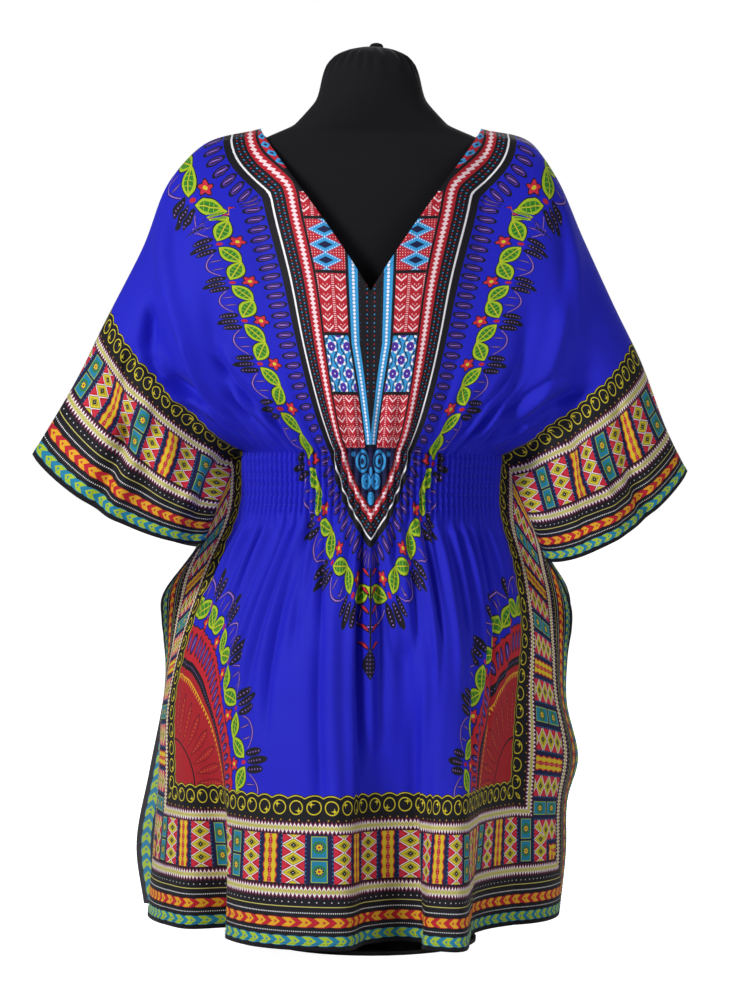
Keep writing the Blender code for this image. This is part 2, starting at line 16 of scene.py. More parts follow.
import bpy
import numpy as np
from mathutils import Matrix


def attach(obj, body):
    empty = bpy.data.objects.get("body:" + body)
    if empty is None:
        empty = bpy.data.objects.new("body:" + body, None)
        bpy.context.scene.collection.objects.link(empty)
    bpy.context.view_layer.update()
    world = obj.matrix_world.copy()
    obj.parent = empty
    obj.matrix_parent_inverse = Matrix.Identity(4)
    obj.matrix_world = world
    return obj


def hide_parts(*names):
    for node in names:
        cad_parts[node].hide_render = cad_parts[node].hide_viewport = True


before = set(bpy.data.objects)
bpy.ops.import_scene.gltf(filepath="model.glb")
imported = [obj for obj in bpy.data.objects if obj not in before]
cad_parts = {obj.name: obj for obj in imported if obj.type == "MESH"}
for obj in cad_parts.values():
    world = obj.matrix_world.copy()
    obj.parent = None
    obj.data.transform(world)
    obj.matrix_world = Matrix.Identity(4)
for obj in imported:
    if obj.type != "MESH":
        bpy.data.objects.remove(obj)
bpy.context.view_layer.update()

LOG = logging.getLogger("dashiki")

# v of a row of the mesh at each distance from the centre line
Fall = Callable[[np.ndarray], np.ndarray]

# The cut of one panel
HALF_PANEL = 0.56
HALF_BODY = 0.4
PANEL_LENGTH = 0.92
NECK_HALF = 0.12
SHOULDER_DROP = 0.115
FRONT_NECK_DEPTH = 0.192
BACK_NECK_DEPTH = 0.034
SHIRR_TOP = 0.37
SHIRR_BOTTOM = 0.445
FOLD_LEVEL = 0.65
BACK_SEAM_STEP = 0.002
TUFT_AT = (0.006, 0.0)
TUFT_BASE = 1.0023

# Lengths below this count as nothing
HAIR = 1e-6


class Station(NamedTuple):
    """A point of a rail: how far along the cut it lies, and where it hangs."""

    at: float
    x: float
    y: float
    z: float


class Ring(NamedTuple):
    """How deep the body of the garment is at a distance down the cut."""

    v: float
    front: float
    back: float


class Bulge(NamedTuple):
    """How far the bodice stands off the straight line from its top to the waist."""

    u: float
    out: float
    front: float
    back: float
    drop: float


class Fold(NamedTuple):
    """Where a line of the skirt stands halfway down and at the hem."""

    u: float
    mid_x: float
    mid_y: float
    hem_x: float
    hem_y: float


class Crease(NamedTuple):
    """A soft fold on the flat cut, from one end to the other. Depth is outwards."""

    u0: float
    v0: float
    u1: float
    v1: float
    width: float
    depth: float


class FormSection(NamedTuple):
    """A level of the dress form."""

    z: float
    half_width: float
    front: float
    back: float


class Ramp(NamedTuple):
    """Where along the cut something sets in, and where it is full."""

    low: float
    high: float


class Varied(NamedTuple):
    """A measure that grows with how strong the gathers are at a place."""

    least: float
    more: float

    def at(self, strength: np.ndarray) -> np.ndarray:
        """The measure where the gathers have this strength."""
        return self.least + self.more * strength

    def over(self, noise: Place) -> Place:
        """The measure worked out by nodes over noise from 0 to 1."""
        return noise.scaled(self.more, self.least)


class Ripple(NamedTuple):
    """A sine: its height, its waves in a turn and its start."""

    height: float
    waves: float
    start: float

    def at(self, turn: np.ndarray) -> np.ndarray:
        """The sine at an angle."""
        return self.height * np.sin(self.waves * turn + self.start)


def table(kind: type, *rows: tuple[float, ...]) -> tuple:
    """Rows of numbers as named tuples of one kind."""
    return tuple(kind(*row) for row in rows)


LEFT_TOP = table(
    Station,
    (0.12, -0.124, 0.004, 0.912), (0.19, -0.189, 0.002, 0.893), (0.23, -0.217, 0.0, 0.865),
    (0.32, -0.254, -0.004, 0.781), (0.405, -0.298, -0.008, 0.694), (0.485, -0.333, -0.01, 0.623),
    (0.56, -0.379, -0.012, 0.545),
)
RIGHT_TOP = table(
    Station,
    (0.12, 0.124, 0.004, 0.912), (0.19, 0.184, 0.002, 0.892), (0.22, 0.202, 0.0, 0.865),
    (0.29, 0.235, -0.004, 0.792), (0.365, 0.278, -0.008, 0.7), (0.405, 0.299, -0.009, 0.657),
    (0.49, 0.331, -0.01, 0.573), (0.56, 0.354, -0.012, 0.526),
)
LEFT_SEAM = table(
    Station,
    (0.37, -0.149, 0.0, 0.55), (0.445, -0.152, 0.0, 0.482), (0.5, -0.176, 0.0, 0.427),
    (0.57, -0.204, 0.0, 0.354), (0.65, -0.222, 0.0, 0.275), (0.75, -0.224, 0.003, 0.176),
    (0.85, -0.23, 0.007, 0.083), (0.92, -0.236, 0.01, 0.016),
)
RIGHT_SEAM = table(
    Station,
    (0.37, 0.15, 0.0, 0.545), (0.445, 0.148, 0.0, 0.48), (0.5, 0.162, 0.0, 0.428),
    (0.57, 0.172, 0.0, 0.356), (0.65, 0.166, 0.0, 0.277), (0.75, 0.161, 0.0, 0.177),
    (0.85, 0.16, 0.0, 0.083), (0.92, 0.16, 0.0, 0.016),
)
LEFT_FRONT_EDGE = table(
    Station,
    (0.37, -0.186, -0.03, 0.447), (0.41, -0.206, -0.026, 0.424), (0.455, -0.232, -0.012, 0.39),
    (0.51, -0.236, 0.008, 0.358), (0.58, -0.233, 0.036, 0.316), (0.68, -0.239, 0.082, 0.238),
    (0.76, -0.244, 0.11, 0.17), (0.85, -0.252, 0.12, 0.084), (0.92, -0.257, 0.122, 0.016),
)
LEFT_BACK_EDGE = table(
    Station,
    (0.37, -0.186, 0.046, 0.442), (0.41, -0.209, 0.038, 0.422), (0.455, -0.23, 0.036, 0.396),
    (0.51, -0.238, 0.06, 0.352), (0.58, -0.238, 0.098, 0.306), (0.68, -0.246, 0.15, 0.25),
    (0.76, -0.262, 0.16, 0.172), (0.85, -0.277, 0.162, 0.084), (0.92, -0.268, 0.16, 0.018),
)
RIGHT_FRONT_EDGE = table(
    Station,
    (0.37, 0.196, -0.03, 0.427), (0.41, 0.214, -0.02, 0.4), (0.455, 0.225, 0.004, 0.374),
    (0.51, 0.228, 0.034, 0.346), (0.57, 0.225, 0.066, 0.312), (0.64, 0.226, 0.094, 0.258),
    (0.705, 0.24, 0.108, 0.196), (0.77, 0.228, 0.114, 0.146), (0.85, 0.226, 0.116, 0.082),
    (0.92, 0.218, 0.112, 0.016),
)
RIGHT_BACK_EDGE = table(
    Station,
    (0.37, 0.192, 0.046, 0.44), (0.41, 0.209, 0.046, 0.418), (0.455, 0.226, 0.048, 0.388),
    (0.51, 0.228, 0.078, 0.35), (0.57, 0.22, 0.11, 0.308), (0.64, 0.198, 0.146, 0.256),
    (0.705, 0.206, 0.154, 0.2), (0.77, 0.202, 0.158, 0.148), (0.85, 0.2, 0.16, 0.084),
    (0.92, 0.194, 0.158, 0.018),
)

THROAT_FRONT = -0.058
THROAT_BACK = 0.062
THROAT_HEIGHT = 0.905

RINGS = table(
    Ring,
    (0.37, -0.11, 0.104), (0.445, -0.112, 0.106), (0.5, -0.128, 0.12), (0.6, -0.146, 0.136),
    (0.92, -0.166, 0.156),
)
RING_POWER = 2.1
RING_DEPTH_SHARE = 0.75

BULGES = table(
    Bulge,
    (0.0, 0.0, -0.046, 0.034, 0.0), (0.12, 0.022, -0.06, 0.054, 0.0),
    (0.2, 0.04, -0.062, 0.058, 0.0), (0.3, 0.03, -0.062, 0.058, 0.0),
    (0.4, 0.018, -0.064, 0.058, -0.006), (0.48, 0.006, -0.062, 0.058, -0.016),
    (0.56, 0.0, -0.046, 0.048, -0.024),
)
BULGE_POWER = 0.75

# How far a flap's middle stands off the straight line from seam to edge, by side
FRONT_FLAP_BOW = {-1: (-0.008, -0.004, 0.0), 1: (0.014, -0.018, 0.0)}
BACK_FLAP_BOW = {-1: (0.024, 0.0, 0.0), 1: (-0.004, 0.0, 0.0)}

# Where that bow sets in, down the cut
FLAP_BOWS = Ramp(0.5, 0.74)

FRONT_FOLDS = table(
    Fold,
    (-0.4, -0.222, 0.0, -0.236, 0.01), (-0.353, -0.206, -0.035, -0.205, -0.03),
    (-0.3, -0.184, -0.06, -0.152, -0.018), (-0.215, -0.152, -0.098, -0.157, -0.1),
    (-0.15, -0.112, -0.134, -0.12, -0.158), (-0.102, -0.072, -0.152, -0.075, -0.182),
    (-0.058, -0.034, -0.157, -0.028, -0.187), (0.0, -0.002, -0.142, -0.004, -0.138),
    (0.042, 0.03, -0.138, 0.03, -0.114), (0.068, 0.05, -0.142, 0.052, -0.124),
    (0.128, 0.078, -0.15, 0.058, -0.178), (0.172, 0.098, -0.14, 0.092, -0.196),
    (0.25, 0.122, -0.098, 0.107, -0.122), (0.302, 0.136, -0.066, 0.11, -0.072),
    (0.355, 0.152, -0.03, 0.132, -0.028), (0.4, 0.166, 0.0, 0.16, 0.0),
)
BACK_FOLDS = table(
    Fold,
    (-0.4, -0.222, 0.0, -0.236, 0.01), (-0.35, -0.194, 0.03, -0.198, 0.05),
    (-0.29, -0.168, 0.064, -0.164, 0.094), (-0.23, -0.138, 0.1, -0.13, 0.14),
    (-0.175, -0.102, 0.11, -0.09, 0.104), (-0.125, -0.068, 0.128, -0.058, 0.14),
    (-0.06, -0.02, 0.144, -0.01, 0.172), (-0.005, 0.018, 0.136, 0.022, 0.13),
    (0.045, 0.05, 0.142, 0.04, 0.17), (0.085, 0.074, 0.136, 0.074, 0.174),
    (0.15, 0.1, 0.112, 0.086, 0.114), (0.185, 0.116, 0.1, 0.108, 0.128),
    (0.235, 0.132, 0.084, 0.128, 0.164), (0.275, 0.13, 0.066, 0.14, 0.132),
    (0.34, 0.14, 0.036, 0.13, 0.06), (0.4, 0.166, 0.0, 0.16, 0.0),
)
FRONT_CREASES = table(
    Crease,
    (-0.33, 0.35, -0.24, 0.13, 0.024, 0.013), (-0.28, 0.345, -0.18, 0.19, 0.017, -0.008),
    (-0.385, 0.32, -0.335, 0.15, 0.022, -0.012), (-0.43, 0.11, -0.52, 0.3, 0.022, -0.016),
    (0.335, 0.35, 0.245, 0.14, 0.024, 0.013), (0.285, 0.345, 0.185, 0.2, 0.017, -0.008),
    (0.39, 0.32, 0.345, 0.17, 0.022, -0.012), (0.455, 0.28, 0.54, 0.2, 0.022, 0.01),
)
BACK_CREASES = table(
    Crease,
    (-0.33, 0.35, -0.24, 0.13, 0.024, 0.012), (-0.385, 0.33, -0.33, 0.17, 0.022, -0.01),
    (-0.45, 0.13, -0.52, 0.3, 0.024, -0.012), (0.335, 0.35, 0.245, 0.13, 0.024, 0.012),
    (0.385, 0.33, 0.335, 0.17, 0.022, -0.01),
)
FORM_SECTIONS = table(
    FormSection,
    (0.19, 0.112, -0.074, 0.076), (0.202, 0.126, -0.084, 0.086), (0.26, 0.132, -0.088, 0.092),
    (0.35, 0.13, -0.088, 0.092), (0.43, 0.116, -0.08, 0.082), (0.515, 0.106, -0.074, 0.07),
    (0.59, 0.116, -0.082, 0.074), (0.69, 0.146, -0.104, 0.088), (0.79, 0.148, -0.088, 0.084),
    (0.84, 0.151, -0.068, 0.068), (0.871, 0.154, -0.054, 0.062), (0.8896, 0.141, -0.04, 0.0515),
    (0.9025, 0.118, -0.033, 0.043), (0.915, 0.088, -0.039, 0.045), (0.944, 0.061, -0.049, 0.051),
    (0.97, 0.056, -0.05, 0.052), (0.984, 0.052, -0.048, 0.05), (0.993, 0.043, -0.04, 0.042),
    (0.999, 0.03, -0.028, 0.03), (1.002, 0.016, -0.016, 0.016),
)
TUFT_SECTIONS = table(
    FormSection,
    (0.0, 0.007, -0.006, 0.006), (0.002, 0.008, -0.0068, 0.0068), (0.0045, 0.0064, -0.0054, 0.0054),
    (0.0058, 0.003, -0.0026, 0.0026),
)

# Where the waist's elastic draws the cloth in and lets it go, down the cut
SHIRR_IN = Ramp(0.352, 0.37)
SHIRR_OUT = Ramp(0.447, 0.466)

# Where the gathers below the waist die out, and how strong they and the blousing above it are
GATHER_FADES = Varied(0.475, 0.03)
GATHER_GONE = Varied(0.56, 0.2)
GATHER_SHARE = Varied(0.6, 0.6)
GATHER_LOST = 0.95
BLOUSE_STARTS = Varied(0.235, 0.05)
BLOUSE_FULL = 0.345
BLOUSE_SHARE = Varied(0.65, 0.5)

# How the strength of the gathers and the place of each wave change round the waist
FRONT_STRENGTH = Ripple(0.5, 3.7, 2.0 * math.pi * 0.13)
BACK_STRENGTH = Ripple(0.5, 3.7, 2.0 * math.pi * 0.61)
DRIFTS = (Ripple(0.42, 5.3, 0.7), Ripple(0.34, 9.1, 2.1))

# The share of a crease's length over which it rises and dies out
CREASE_STARTS = Ramp(-0.1, 0.25)
CREASE_ENDS = Ramp(0.7, 1.1)


class Dye(Enum):
    """The colours of the print and the cloth, as display values."""

    ROYAL_BLUE = (21, 24, 188)
    BLACK = (12, 11, 20)
    NAVY = (18, 22, 66)
    CREAM = (198, 190, 104)
    YELLOW = (206, 190, 40)
    GOLD = (218, 164, 30)
    OLIVE = (120, 122, 44)
    LIME = (162, 188, 32)
    GREEN = (44, 122, 34)
    RED = (182, 24, 42)
    CRIMSON = (200, 36, 60)
    ROSE = (243, 214, 220)
    SKY = (52, 152, 214)
    TEAL = (22, 122, 160)
    MAROON = (112, 22, 66)
    BRICK = (162, 22, 34)
    PURPLE = (74, 40, 158)
    LILAC = (150, 104, 206)
    WHITE = (240, 238, 244)
    REVERSE = (168, 166, 178)

    def linear(self) -> tuple[float, float, float, float]:
        """The colour as linear light with full cover."""
        shares = [level / 255.0 for level in self.value]
        light = [s / 12.92 if s <= 0.04045 else ((s + 0.055) / 1.055) ** 2.4 for s in shares]
        return (light[0], light[1], light[2], 1.0)


class Side(Enum):
    """The half of a panel, as the sign of its flat coordinate."""

    LEFT = -1
    RIGHT = 1


def rise(low: float, high: float, value: np.ndarray) -> np.ndarray:
    """0 below low, 1 above high and a smooth rise between."""
    t = np.clip((value - low) / (high - low), 0.0, 1.0)
    return t * t * (3.0 - 2.0 * t)


def through(rows: tuple, at: np.ndarray) -> np.ndarray:
    """A smooth curve through a table whose first column is the place.

    Args:
        rows: the table, one named tuple a row.
        at: the places asked for.

    Returns:
        One row of values per place.
    """
    table = np.array(rows, float)
    knots, values = table[:, 0], table[:, 1:]
    slopes = np.gradient(values, knots, axis=0)
    at = np.clip(np.asarray(at, float), knots[0], knots[-1])
    left = np.clip(np.searchsorted(knots, at, side="right") - 1, 0, len(knots) - 2)
    span = (knots[left + 1] - knots[left])[:, None]
    t = (at - knots[left])[:, None] / span
    return (
        values[left] * (2 * t**3 - 3 * t**2 + 1)
        + slopes[left] * span * (t**3 - 2 * t**2 + t)
        + values[left + 1] * (3 * t**2 - 2 * t**3)
        + slopes[left + 1] * span * (t**3 - t**2)
    )


def unit(vectors: np.ndarray) -> np.ndarray:
    """The vectors at length one."""
    return vectors / np.maximum(np.linalg.norm(vectors, axis=-1, keepdims=True), HAIR**2)


def level_at(v: float) -> Fall:
    """The law of a row that stays at one distance down the cut."""
    return lambda u: np.full_like(u, v)


@dataclass(frozen=True)
class GatherLaw:
    """How much of a wavy row's length is left at each slope of its waves."""

    slopes: np.ndarray
    left: np.ndarray

    @staticmethod
    def worked_out(steepest: float = 1.9, steps: int = 60, places: int = 180) -> "GatherLaw":
        """The law for waves whose angle swings as a sine.

        Args:
            steepest: the last slope of the law.
            steps: its number of slopes.
            places: how many places of a wave are looked at.

        Returns:
            The law.
        """
        turn = np.linspace(0.0, 2.0 * math.pi, places + 1)[:-1]
        slopes = np.linspace(0.0, steepest, steps)
        return GatherLaw(slopes, np.cos(slopes[:, None] * np.sin(turn)).mean(axis=1))

    def slope_for(self, share: np.ndarray) -> np.ndarray:
        """The slope of the waves that leave this share of a row's length."""
        return np.interp(-np.clip(share, self.left[-1], 1.0), -self.left, self.slopes)


@dataclass
class Drape:
    """Where one panel hangs, from its flat cut.

    The large form is the solid's own. The waves, pleats and creases on it are finer and uneven.
    """

    front: bool
    shirr_waves: int = 50
    gather_waves: int = 24
    steepest_shirr: float = 1.35
    steepest_gather: float = 0.9
    blouse_slope: float = 0.62
    shirr_drift: float = 0.6
    gather_drift: float = 1.5
    settled: float = 0.03
    seam_margin: float = 0.05
    tightest: float = 0.3
    dense: int = 1001
    ring_steps: int = 801
    step: float = 0.001
    back_neck_power: float = 0.55
    elastic_rows: tuple[float, ...] = (0.3745, 0.387, 0.3995, 0.412, 0.4245, 0.437)
    elastic_pinch: float = 0.25
    puff: float = 0.0016
    creases: tuple[Crease, ...] = ()
    law: GatherLaw = field(default_factory=GatherLaw.worked_out)

    def __post_init__(self) -> None:
        """Set what follows from the side that the panel is on."""
        self.sign = -1.0 if self.front else 1.0
        self.edges = {Side.LEFT: LEFT_BACK_EDGE, Side.RIGHT: RIGHT_BACK_EDGE}
        if self.front:
            self.edges = {Side.LEFT: LEFT_FRONT_EDGE, Side.RIGHT: RIGHT_FRONT_EDGE}
        self.folds = FRONT_FOLDS if self.front else BACK_FOLDS
        self.creases = (FRONT_CREASES if self.front else BACK_CREASES) + self.creases
        self.strength = FRONT_STRENGTH if self.front else BACK_STRENGTH
        self.neck_depth = FRONT_NECK_DEPTH if self.front else BACK_NECK_DEPTH
        self.neck_power = 1.0 if self.front else self.back_neck_power
        turn = np.linspace(0.0, math.pi / 2, self.ring_steps)
        x, y = np.sin(turn), RING_DEPTH_SHARE * np.cos(turn) ** RING_POWER
        walked = np.concatenate([[0.0], np.cumsum(np.hypot(np.diff(x), np.diff(y)))])
        self.ring_walked, self.ring_turns = walked / walked[-1], turn

    def top_of_cut(self, u: np.ndarray) -> np.ndarray:
        """v of the cut's top: the neckline inside the neck points, the sloping shoulder outside."""
        inside = np.clip(1.0 - np.abs(u) / NECK_HALF, 0.0, 1.0)
        return self.neck_depth * inside**self.neck_power + self.shoulder_fall(u)

    def shoulder_fall(self, u: np.ndarray) -> np.ndarray:
        """How far the shoulder and sleeve line has dropped at a distance from the centre."""
        outside = np.clip(np.abs(u) - NECK_HALF, 0.0, None)
        return SHOULDER_DROP * outside / (HALF_PANEL - NECK_HALF)

    def seam(self, side: Side, v: np.ndarray) -> np.ndarray:
        """Where this panel's side seam hangs."""
        points = through(LEFT_SEAM if side is Side.LEFT else RIGHT_SEAM, v)
        if not self.front:
            points = points + np.array([-side.value * BACK_SEAM_STEP, BACK_SEAM_STEP, 0.0])
        return points

    def fold_lines(self, u: np.ndarray, lower: np.ndarray) -> np.ndarray:
        """The plan of the folded skirt, from halfway down to the hem."""
        folds = through(self.folds, u)
        return folds[:, :2] * (1.0 - lower) + folds[:, 2:] * lower

    def ring(self, side: Side, u: np.ndarray, v: np.ndarray) -> np.ndarray:
        """The body from the centre to the seam, with its large folds.

        Args:
            side: the half of the panel.
            u: distances from the centre line.
            v: distances down the cut.

        Returns:
            The points.
        """
        turn = np.interp(u / HALF_BODY, self.ring_walked, self.ring_turns)
        folding = rise(SHIRR_BOTTOM, FOLD_LEVEL, v)[:, None]
        lower = np.clip((v - FOLD_LEVEL) / (PANEL_LENGTH - FOLD_LEVEL), 0.0, 1.0)[:, None]
        seam = self.seam(side, v)
        depth = through(RINGS, v)[:, 0 if self.front else 1]
        middle = 0.5 * (through(LEFT_SEAM, v)[:, 2] + through(RIGHT_SEAM, v)[:, 2])
        height = middle + (seam[:, 2] - middle) * np.sin(turn) ** 2
        y = seam[:, 1] + (depth - seam[:, 1]) * np.cos(turn) ** RING_POWER
        plain = np.stack([seam[:, 0] * np.sin(turn), y], axis=1)
        folded = self.fold_lines(side.value * u, lower)
        ends = self.fold_lines(np.full_like(u, side.value * HALF_BODY), lower)
        folded = folded + (seam[:, :2] - ends) * (u / HALF_BODY)[:, None]
        plan = plain * (1.0 - folding) + folded * folding
        return np.concatenate([plan, height[:, None]], axis=1)

    def flap(self, side: Side, u: np.ndarray, v: np.ndarray) -> np.ndarray:
        """The free cloth from the side seam to the edge, bowed by a swell that peaks at 1.

        Args:
            side: the half of the panel.
            u: distances from the centre line.
            v: distances down the cut.

        Returns:
            The points.
        """
        share = np.clip((u - HALF_BODY) / (HALF_PANEL - HALF_BODY), 0.0, 1.0)[:, None]
        seam, edge = self.seam(side, v), through(self.edges[side], v)
        early = 4.0 * share * (1.0 - share)
        late = 6.75 * share**2 * (1.0 - share)
        swell = (early if self.front else late) * rise(*FLAP_BOWS, v)[:, None]
        bow = FRONT_FLAP_BOW if self.front else BACK_FLAP_BOW
        return seam * (1.0 - share) + edge * share + np.array(bow[side.value]) * swell

    def body(self, side: Side, u: np.ndarray, v: np.ndarray) -> np.ndarray:
        """Everything below the top of the waist."""
        return np.where((u <= HALF_BODY)[:, None], self.ring(side, u, v), self.flap(side, u, v))

    def bodice(self, side: Side, u: np.ndarray, v: np.ndarray) -> np.ndarray:
        """The bodice and sleeve, above the waist.

        Args:
            side: the half of the panel.
            u: distances from the centre line.
            v: distances down the cut.

        Returns:
            The points.
        """
        rail = LEFT_TOP if side is Side.LEFT else RIGHT_TOP
        inner = np.clip(u / NECK_HALF, 0.0, 1.0)
        throat_y = THROAT_FRONT if self.front else THROAT_BACK
        throat = np.stack(
            [
                rail[0].x * inner,
                throat_y + (rail[0].y - throat_y) * inner**2,
                THROAT_HEIGHT + (rail[0].z - THROAT_HEIGHT) * inner,
            ],
            axis=1,
        )
        top = np.where((u < NECK_HALF)[:, None], throat, through(rail, u))
        low = self.body(side, u, np.full_like(u, SHIRR_TOP))
        start = self.shoulder_fall(u)
        share = np.clip((v - start) / (SHIRR_TOP - start), 0.0, 1.0)
        bulge = through(BULGES, u)
        depth = bulge[:, 1] if self.front else bulge[:, 2]
        offset = np.stack([side.value * bulge[:, 0], depth, bulge[:, 3]], axis=1)
        swell = (4.0 * share * (1.0 - share))[:, None] ** BULGE_POWER
        return top * (1.0 - share[:, None]) + low * share[:, None] + offset * swell

    def base(self, side: Side, u: np.ndarray, v: np.ndarray) -> np.ndarray:
        """The surface with no gathers or creases."""
        if v.min() >= SHIRR_TOP:
            return self.body(side, u, v)
        return np.where((v < SHIRR_TOP)[:, None], self.bodice(side, u, v), self.body(side, u, v))

    def crease_lift(self, u: np.ndarray, v: np.ndarray) -> np.ndarray:
        """How far the creases lift the cloth at flat places.

        Args:
            u: distances from the centre line.
            v: distances down the cut.

        Returns:
            The heights.
        """
        lift = np.zeros_like(u)
        for line in self.creases:
            du, dv = line.u1 - line.u0, line.v1 - line.v0
            along = ((u - line.u0) * du + (v - line.v0) * dv) / (du * du + dv * dv)
            across = ((v - line.v0) * du - (u - line.u0) * dv) / math.hypot(du, dv)
            inside = rise(*CREASE_STARTS, along) * (1.0 - rise(*CREASE_ENDS, along))
            lift += line.depth * inside * np.exp(-((across / line.width) ** 2))
        return lift

    def between_elastics(self, v: np.ndarray) -> np.ndarray:
        """0 on an elastic row of the waist and 1 midway between two."""
        rows = np.array(self.elastic_rows)
        pitch = rows[1] - rows[0]
        inside = (v > rows[0] - pitch / 2) & (v < rows[-1] + pitch / 2)
        return np.where(inside, np.sin(math.pi * (v - rows[0]) / pitch) ** 2, 0.0)

    def wave_slopes(self, turn: np.ndarray, u: np.ndarray, v: np.ndarray,
                    speed: np.ndarray) -> tuple[np.ndarray, np.ndarray]:
        """How steep the fine waves on the elastic and the wide ones above and below it are.

        Args:
            turn: the angle round the whole panel.
            u: distances from the centre line; not used.
            v: distances down the cut.
            speed: the share of the cut's width that the row's large form takes up.

        Returns:
            The slopes of the fine waves and of the wide ones.
        """
        strength = self.strength.height + self.strength.at(turn)
        shirr = rise(*SHIRR_IN, v) * (1.0 - rise(*SHIRR_OUT, v))
        fade = rise(GATHER_FADES.at(strength), GATHER_GONE.at(strength), v)
        gather = rise(*SHIRR_OUT, v) * (1.0 - GATHER_LOST * fade) * GATHER_SHARE.at(strength)
        blouse = rise(BLOUSE_STARTS.at(strength), BLOUSE_FULL, v) * (1.0 - rise(*SHIRR_IN, v))
        needed = self.law.slope_for(speed)
        pinch = 1.0 - self.elastic_pinch * (1.0 - self.between_elastics(v))
        fine = np.minimum(needed, self.steepest_shirr) * shirr * pinch
        wide = np.minimum(needed, self.steepest_gather) * gather
        return fine, wide + self.blouse_slope * blouse * BLOUSE_SHARE.at(strength)

    def half_row(self, side: Side, fall: Fall) -> tuple[np.ndarray, np.ndarray]:
        """A dense half row from the centre to the free edge.

        Args:
            side: the half of the panel.
            fall: gives v at a distance from the centre.

        Returns:
            The distances from the centre, and the points.
        """
        u = np.linspace(0.0, HALF_PANEL, self.dense)
        v = fall(u)
        after, before = np.minimum(u + self.step, HALF_PANEL), np.maximum(u - self.step, 0.0)
        tangent = (self.base(side, after, v) - self.base(side, before, v)) / (after - before)[:, None]
        speed = np.clip(np.linalg.norm(tangent, axis=1), self.tightest, 1.0)
        turn = side.value * math.pi * u / HALF_BODY
        body = 1.0 - rise(HALF_BODY - self.seam_margin, HALF_BODY, u)
        fine, wide = self.wave_slopes(turn, u, v, speed)
        drift = sum(ripple.at(turn) for ripple in DRIFTS) * rise(0.0, self.settled, u)
        angle = fine * body * np.sin(self.shirr_waves * turn + self.shirr_drift * drift)
        angle = angle + wide * body * np.sin(self.gather_waves * turn + self.gather_drift * drift)
        angle = -side.value * angle
        height = np.concatenate([[0.0], np.cumsum(np.sin(0.5 * (angle[1:] + angle[:-1])))]) * (u[1] - u[0])
        last = int(np.searchsorted(u, HALF_BODY, side="right")) - 1
        height = np.where(u <= HALF_BODY, height - height[last] * u / HALF_BODY, 0.0)
        height = height + self.puff * self.between_elastics(v) * body
        outward = np.stack([tangent[:, 1], -tangent[:, 0], np.zeros_like(u)], axis=1)
        outward = unit(outward) * (-side.value * self.sign)
        return u, self.base(side, u, v) + outward * (height + self.crease_lift(side.value * u, v))[:, None]

    def row(self, columns: np.ndarray, fall: Fall) -> np.ndarray:
        """Points of a whole row at the given columns."""
        points = np.zeros((len(columns), 3))
        for side in Side:
            u, dense = self.half_row(side, fall)
            chosen = columns < 0 if side is Side.LEFT else columns >= 0
            for axis in range(3):
                points[chosen, axis] = np.interp(np.abs(columns[chosen]), u, dense[:, axis])
        return points

    def blend(self, u: np.ndarray, share: float) -> np.ndarray:
        """v at a share of the way from the top of the cut to the waist."""
        return self.top_of_cut(u) * (1.0 - share) + SHIRR_TOP * share


@dataclass
class MotifPath:
    """The line that the neck's print follows, and the round medallions at the hips.

    Every flat place gets how far along the nearest of them it lies, and how far outside it.
    """

    line: tuple[tuple[float, float], ...]
    medallion: tuple[float, float] = (0.388, 0.746)
    medallion_radius: float = 0.135
    medallion_top: float = 0.46
    turning: float = 0.052
    corner: float = 0.25
    cuts: int = 3
    far: float = 9.0

    def rounded(self) -> np.ndarray:
        """The line with its corners cut off again and again."""
        points = np.array(self.line)
        for _ in range(self.cuts):
            near = (1.0 - self.corner) * points[:-1] + self.corner * points[1:]
            away = self.corner * points[:-1] + (1.0 - self.corner) * points[1:]
            cut = np.stack([near, away], axis=1).reshape(-1, 2)
            points = np.concatenate([points[:1], cut, points[-1:]])
        return points

    def places(self, u: np.ndarray, v: np.ndarray) -> np.ndarray:
        """Distance along and outside the nearest line for each flat place.

        Args:
            u: distances from the centre line.
            v: distances down the cut.

        Returns:
            Two columns: along, and outside (inside is negative).
        """
        at = np.stack([np.abs(u), v], axis=1)
        best = np.full(len(at), self.far)
        along = np.zeros(len(at))
        side = np.ones(len(at))
        walked = 0.0
        line = self.rounded()
        for a, b in zip(line, line[1:]):
            span = b - a
            length = float(np.hypot(*span))
            t = np.clip((at - a) @ span / length**2, 0.0, 1.0)
            distance = np.hypot(*(at - (a + t[:, None] * span)).T)
            nearer = distance < best - HAIR
            best = np.where(nearer, distance, best)
            along = np.where(nearer, walked + t * length, along)
            outward = (at - a)[:, 0] * span[1] - (at - a)[:, 1] * span[0] > 0
            side = np.where(nearer, np.where(outward, 1.0, -1.0), side)
            walked += length
        tip = line[-1]
        last = tip - line[-2]
        normal = math.atan2(-last[0], last[1])
        angle = np.arctan2(at[:, 1] - tip[1], np.maximum(at[:, 0] - tip[0], HAIR))
        beyond = along > walked - HAIR
        along = np.where(beyond, walked + self.turning * np.clip(angle - normal, 0.0, None), along)
        outside = best * side
        away = at - np.array(self.medallion)
        ring = np.hypot(*away.T) - self.medallion_radius
        turn = np.arctan2(-away[:, 1], -away[:, 0])
        round_it = ring < np.where(at[:, 1] < self.medallion_top, -self.far, outside)
        along = np.where(round_it, turn * (self.medallion_radius + self.turning * 0.5), along)
        return np.stack([along, np.where(round_it, ring, outside)], axis=1)


Number = Union["Place", float]

# The sockets of a Mix node that hold colours
MIX_FIRST = 6
MIX_SECOND = 7
MIX_RESULT = 2


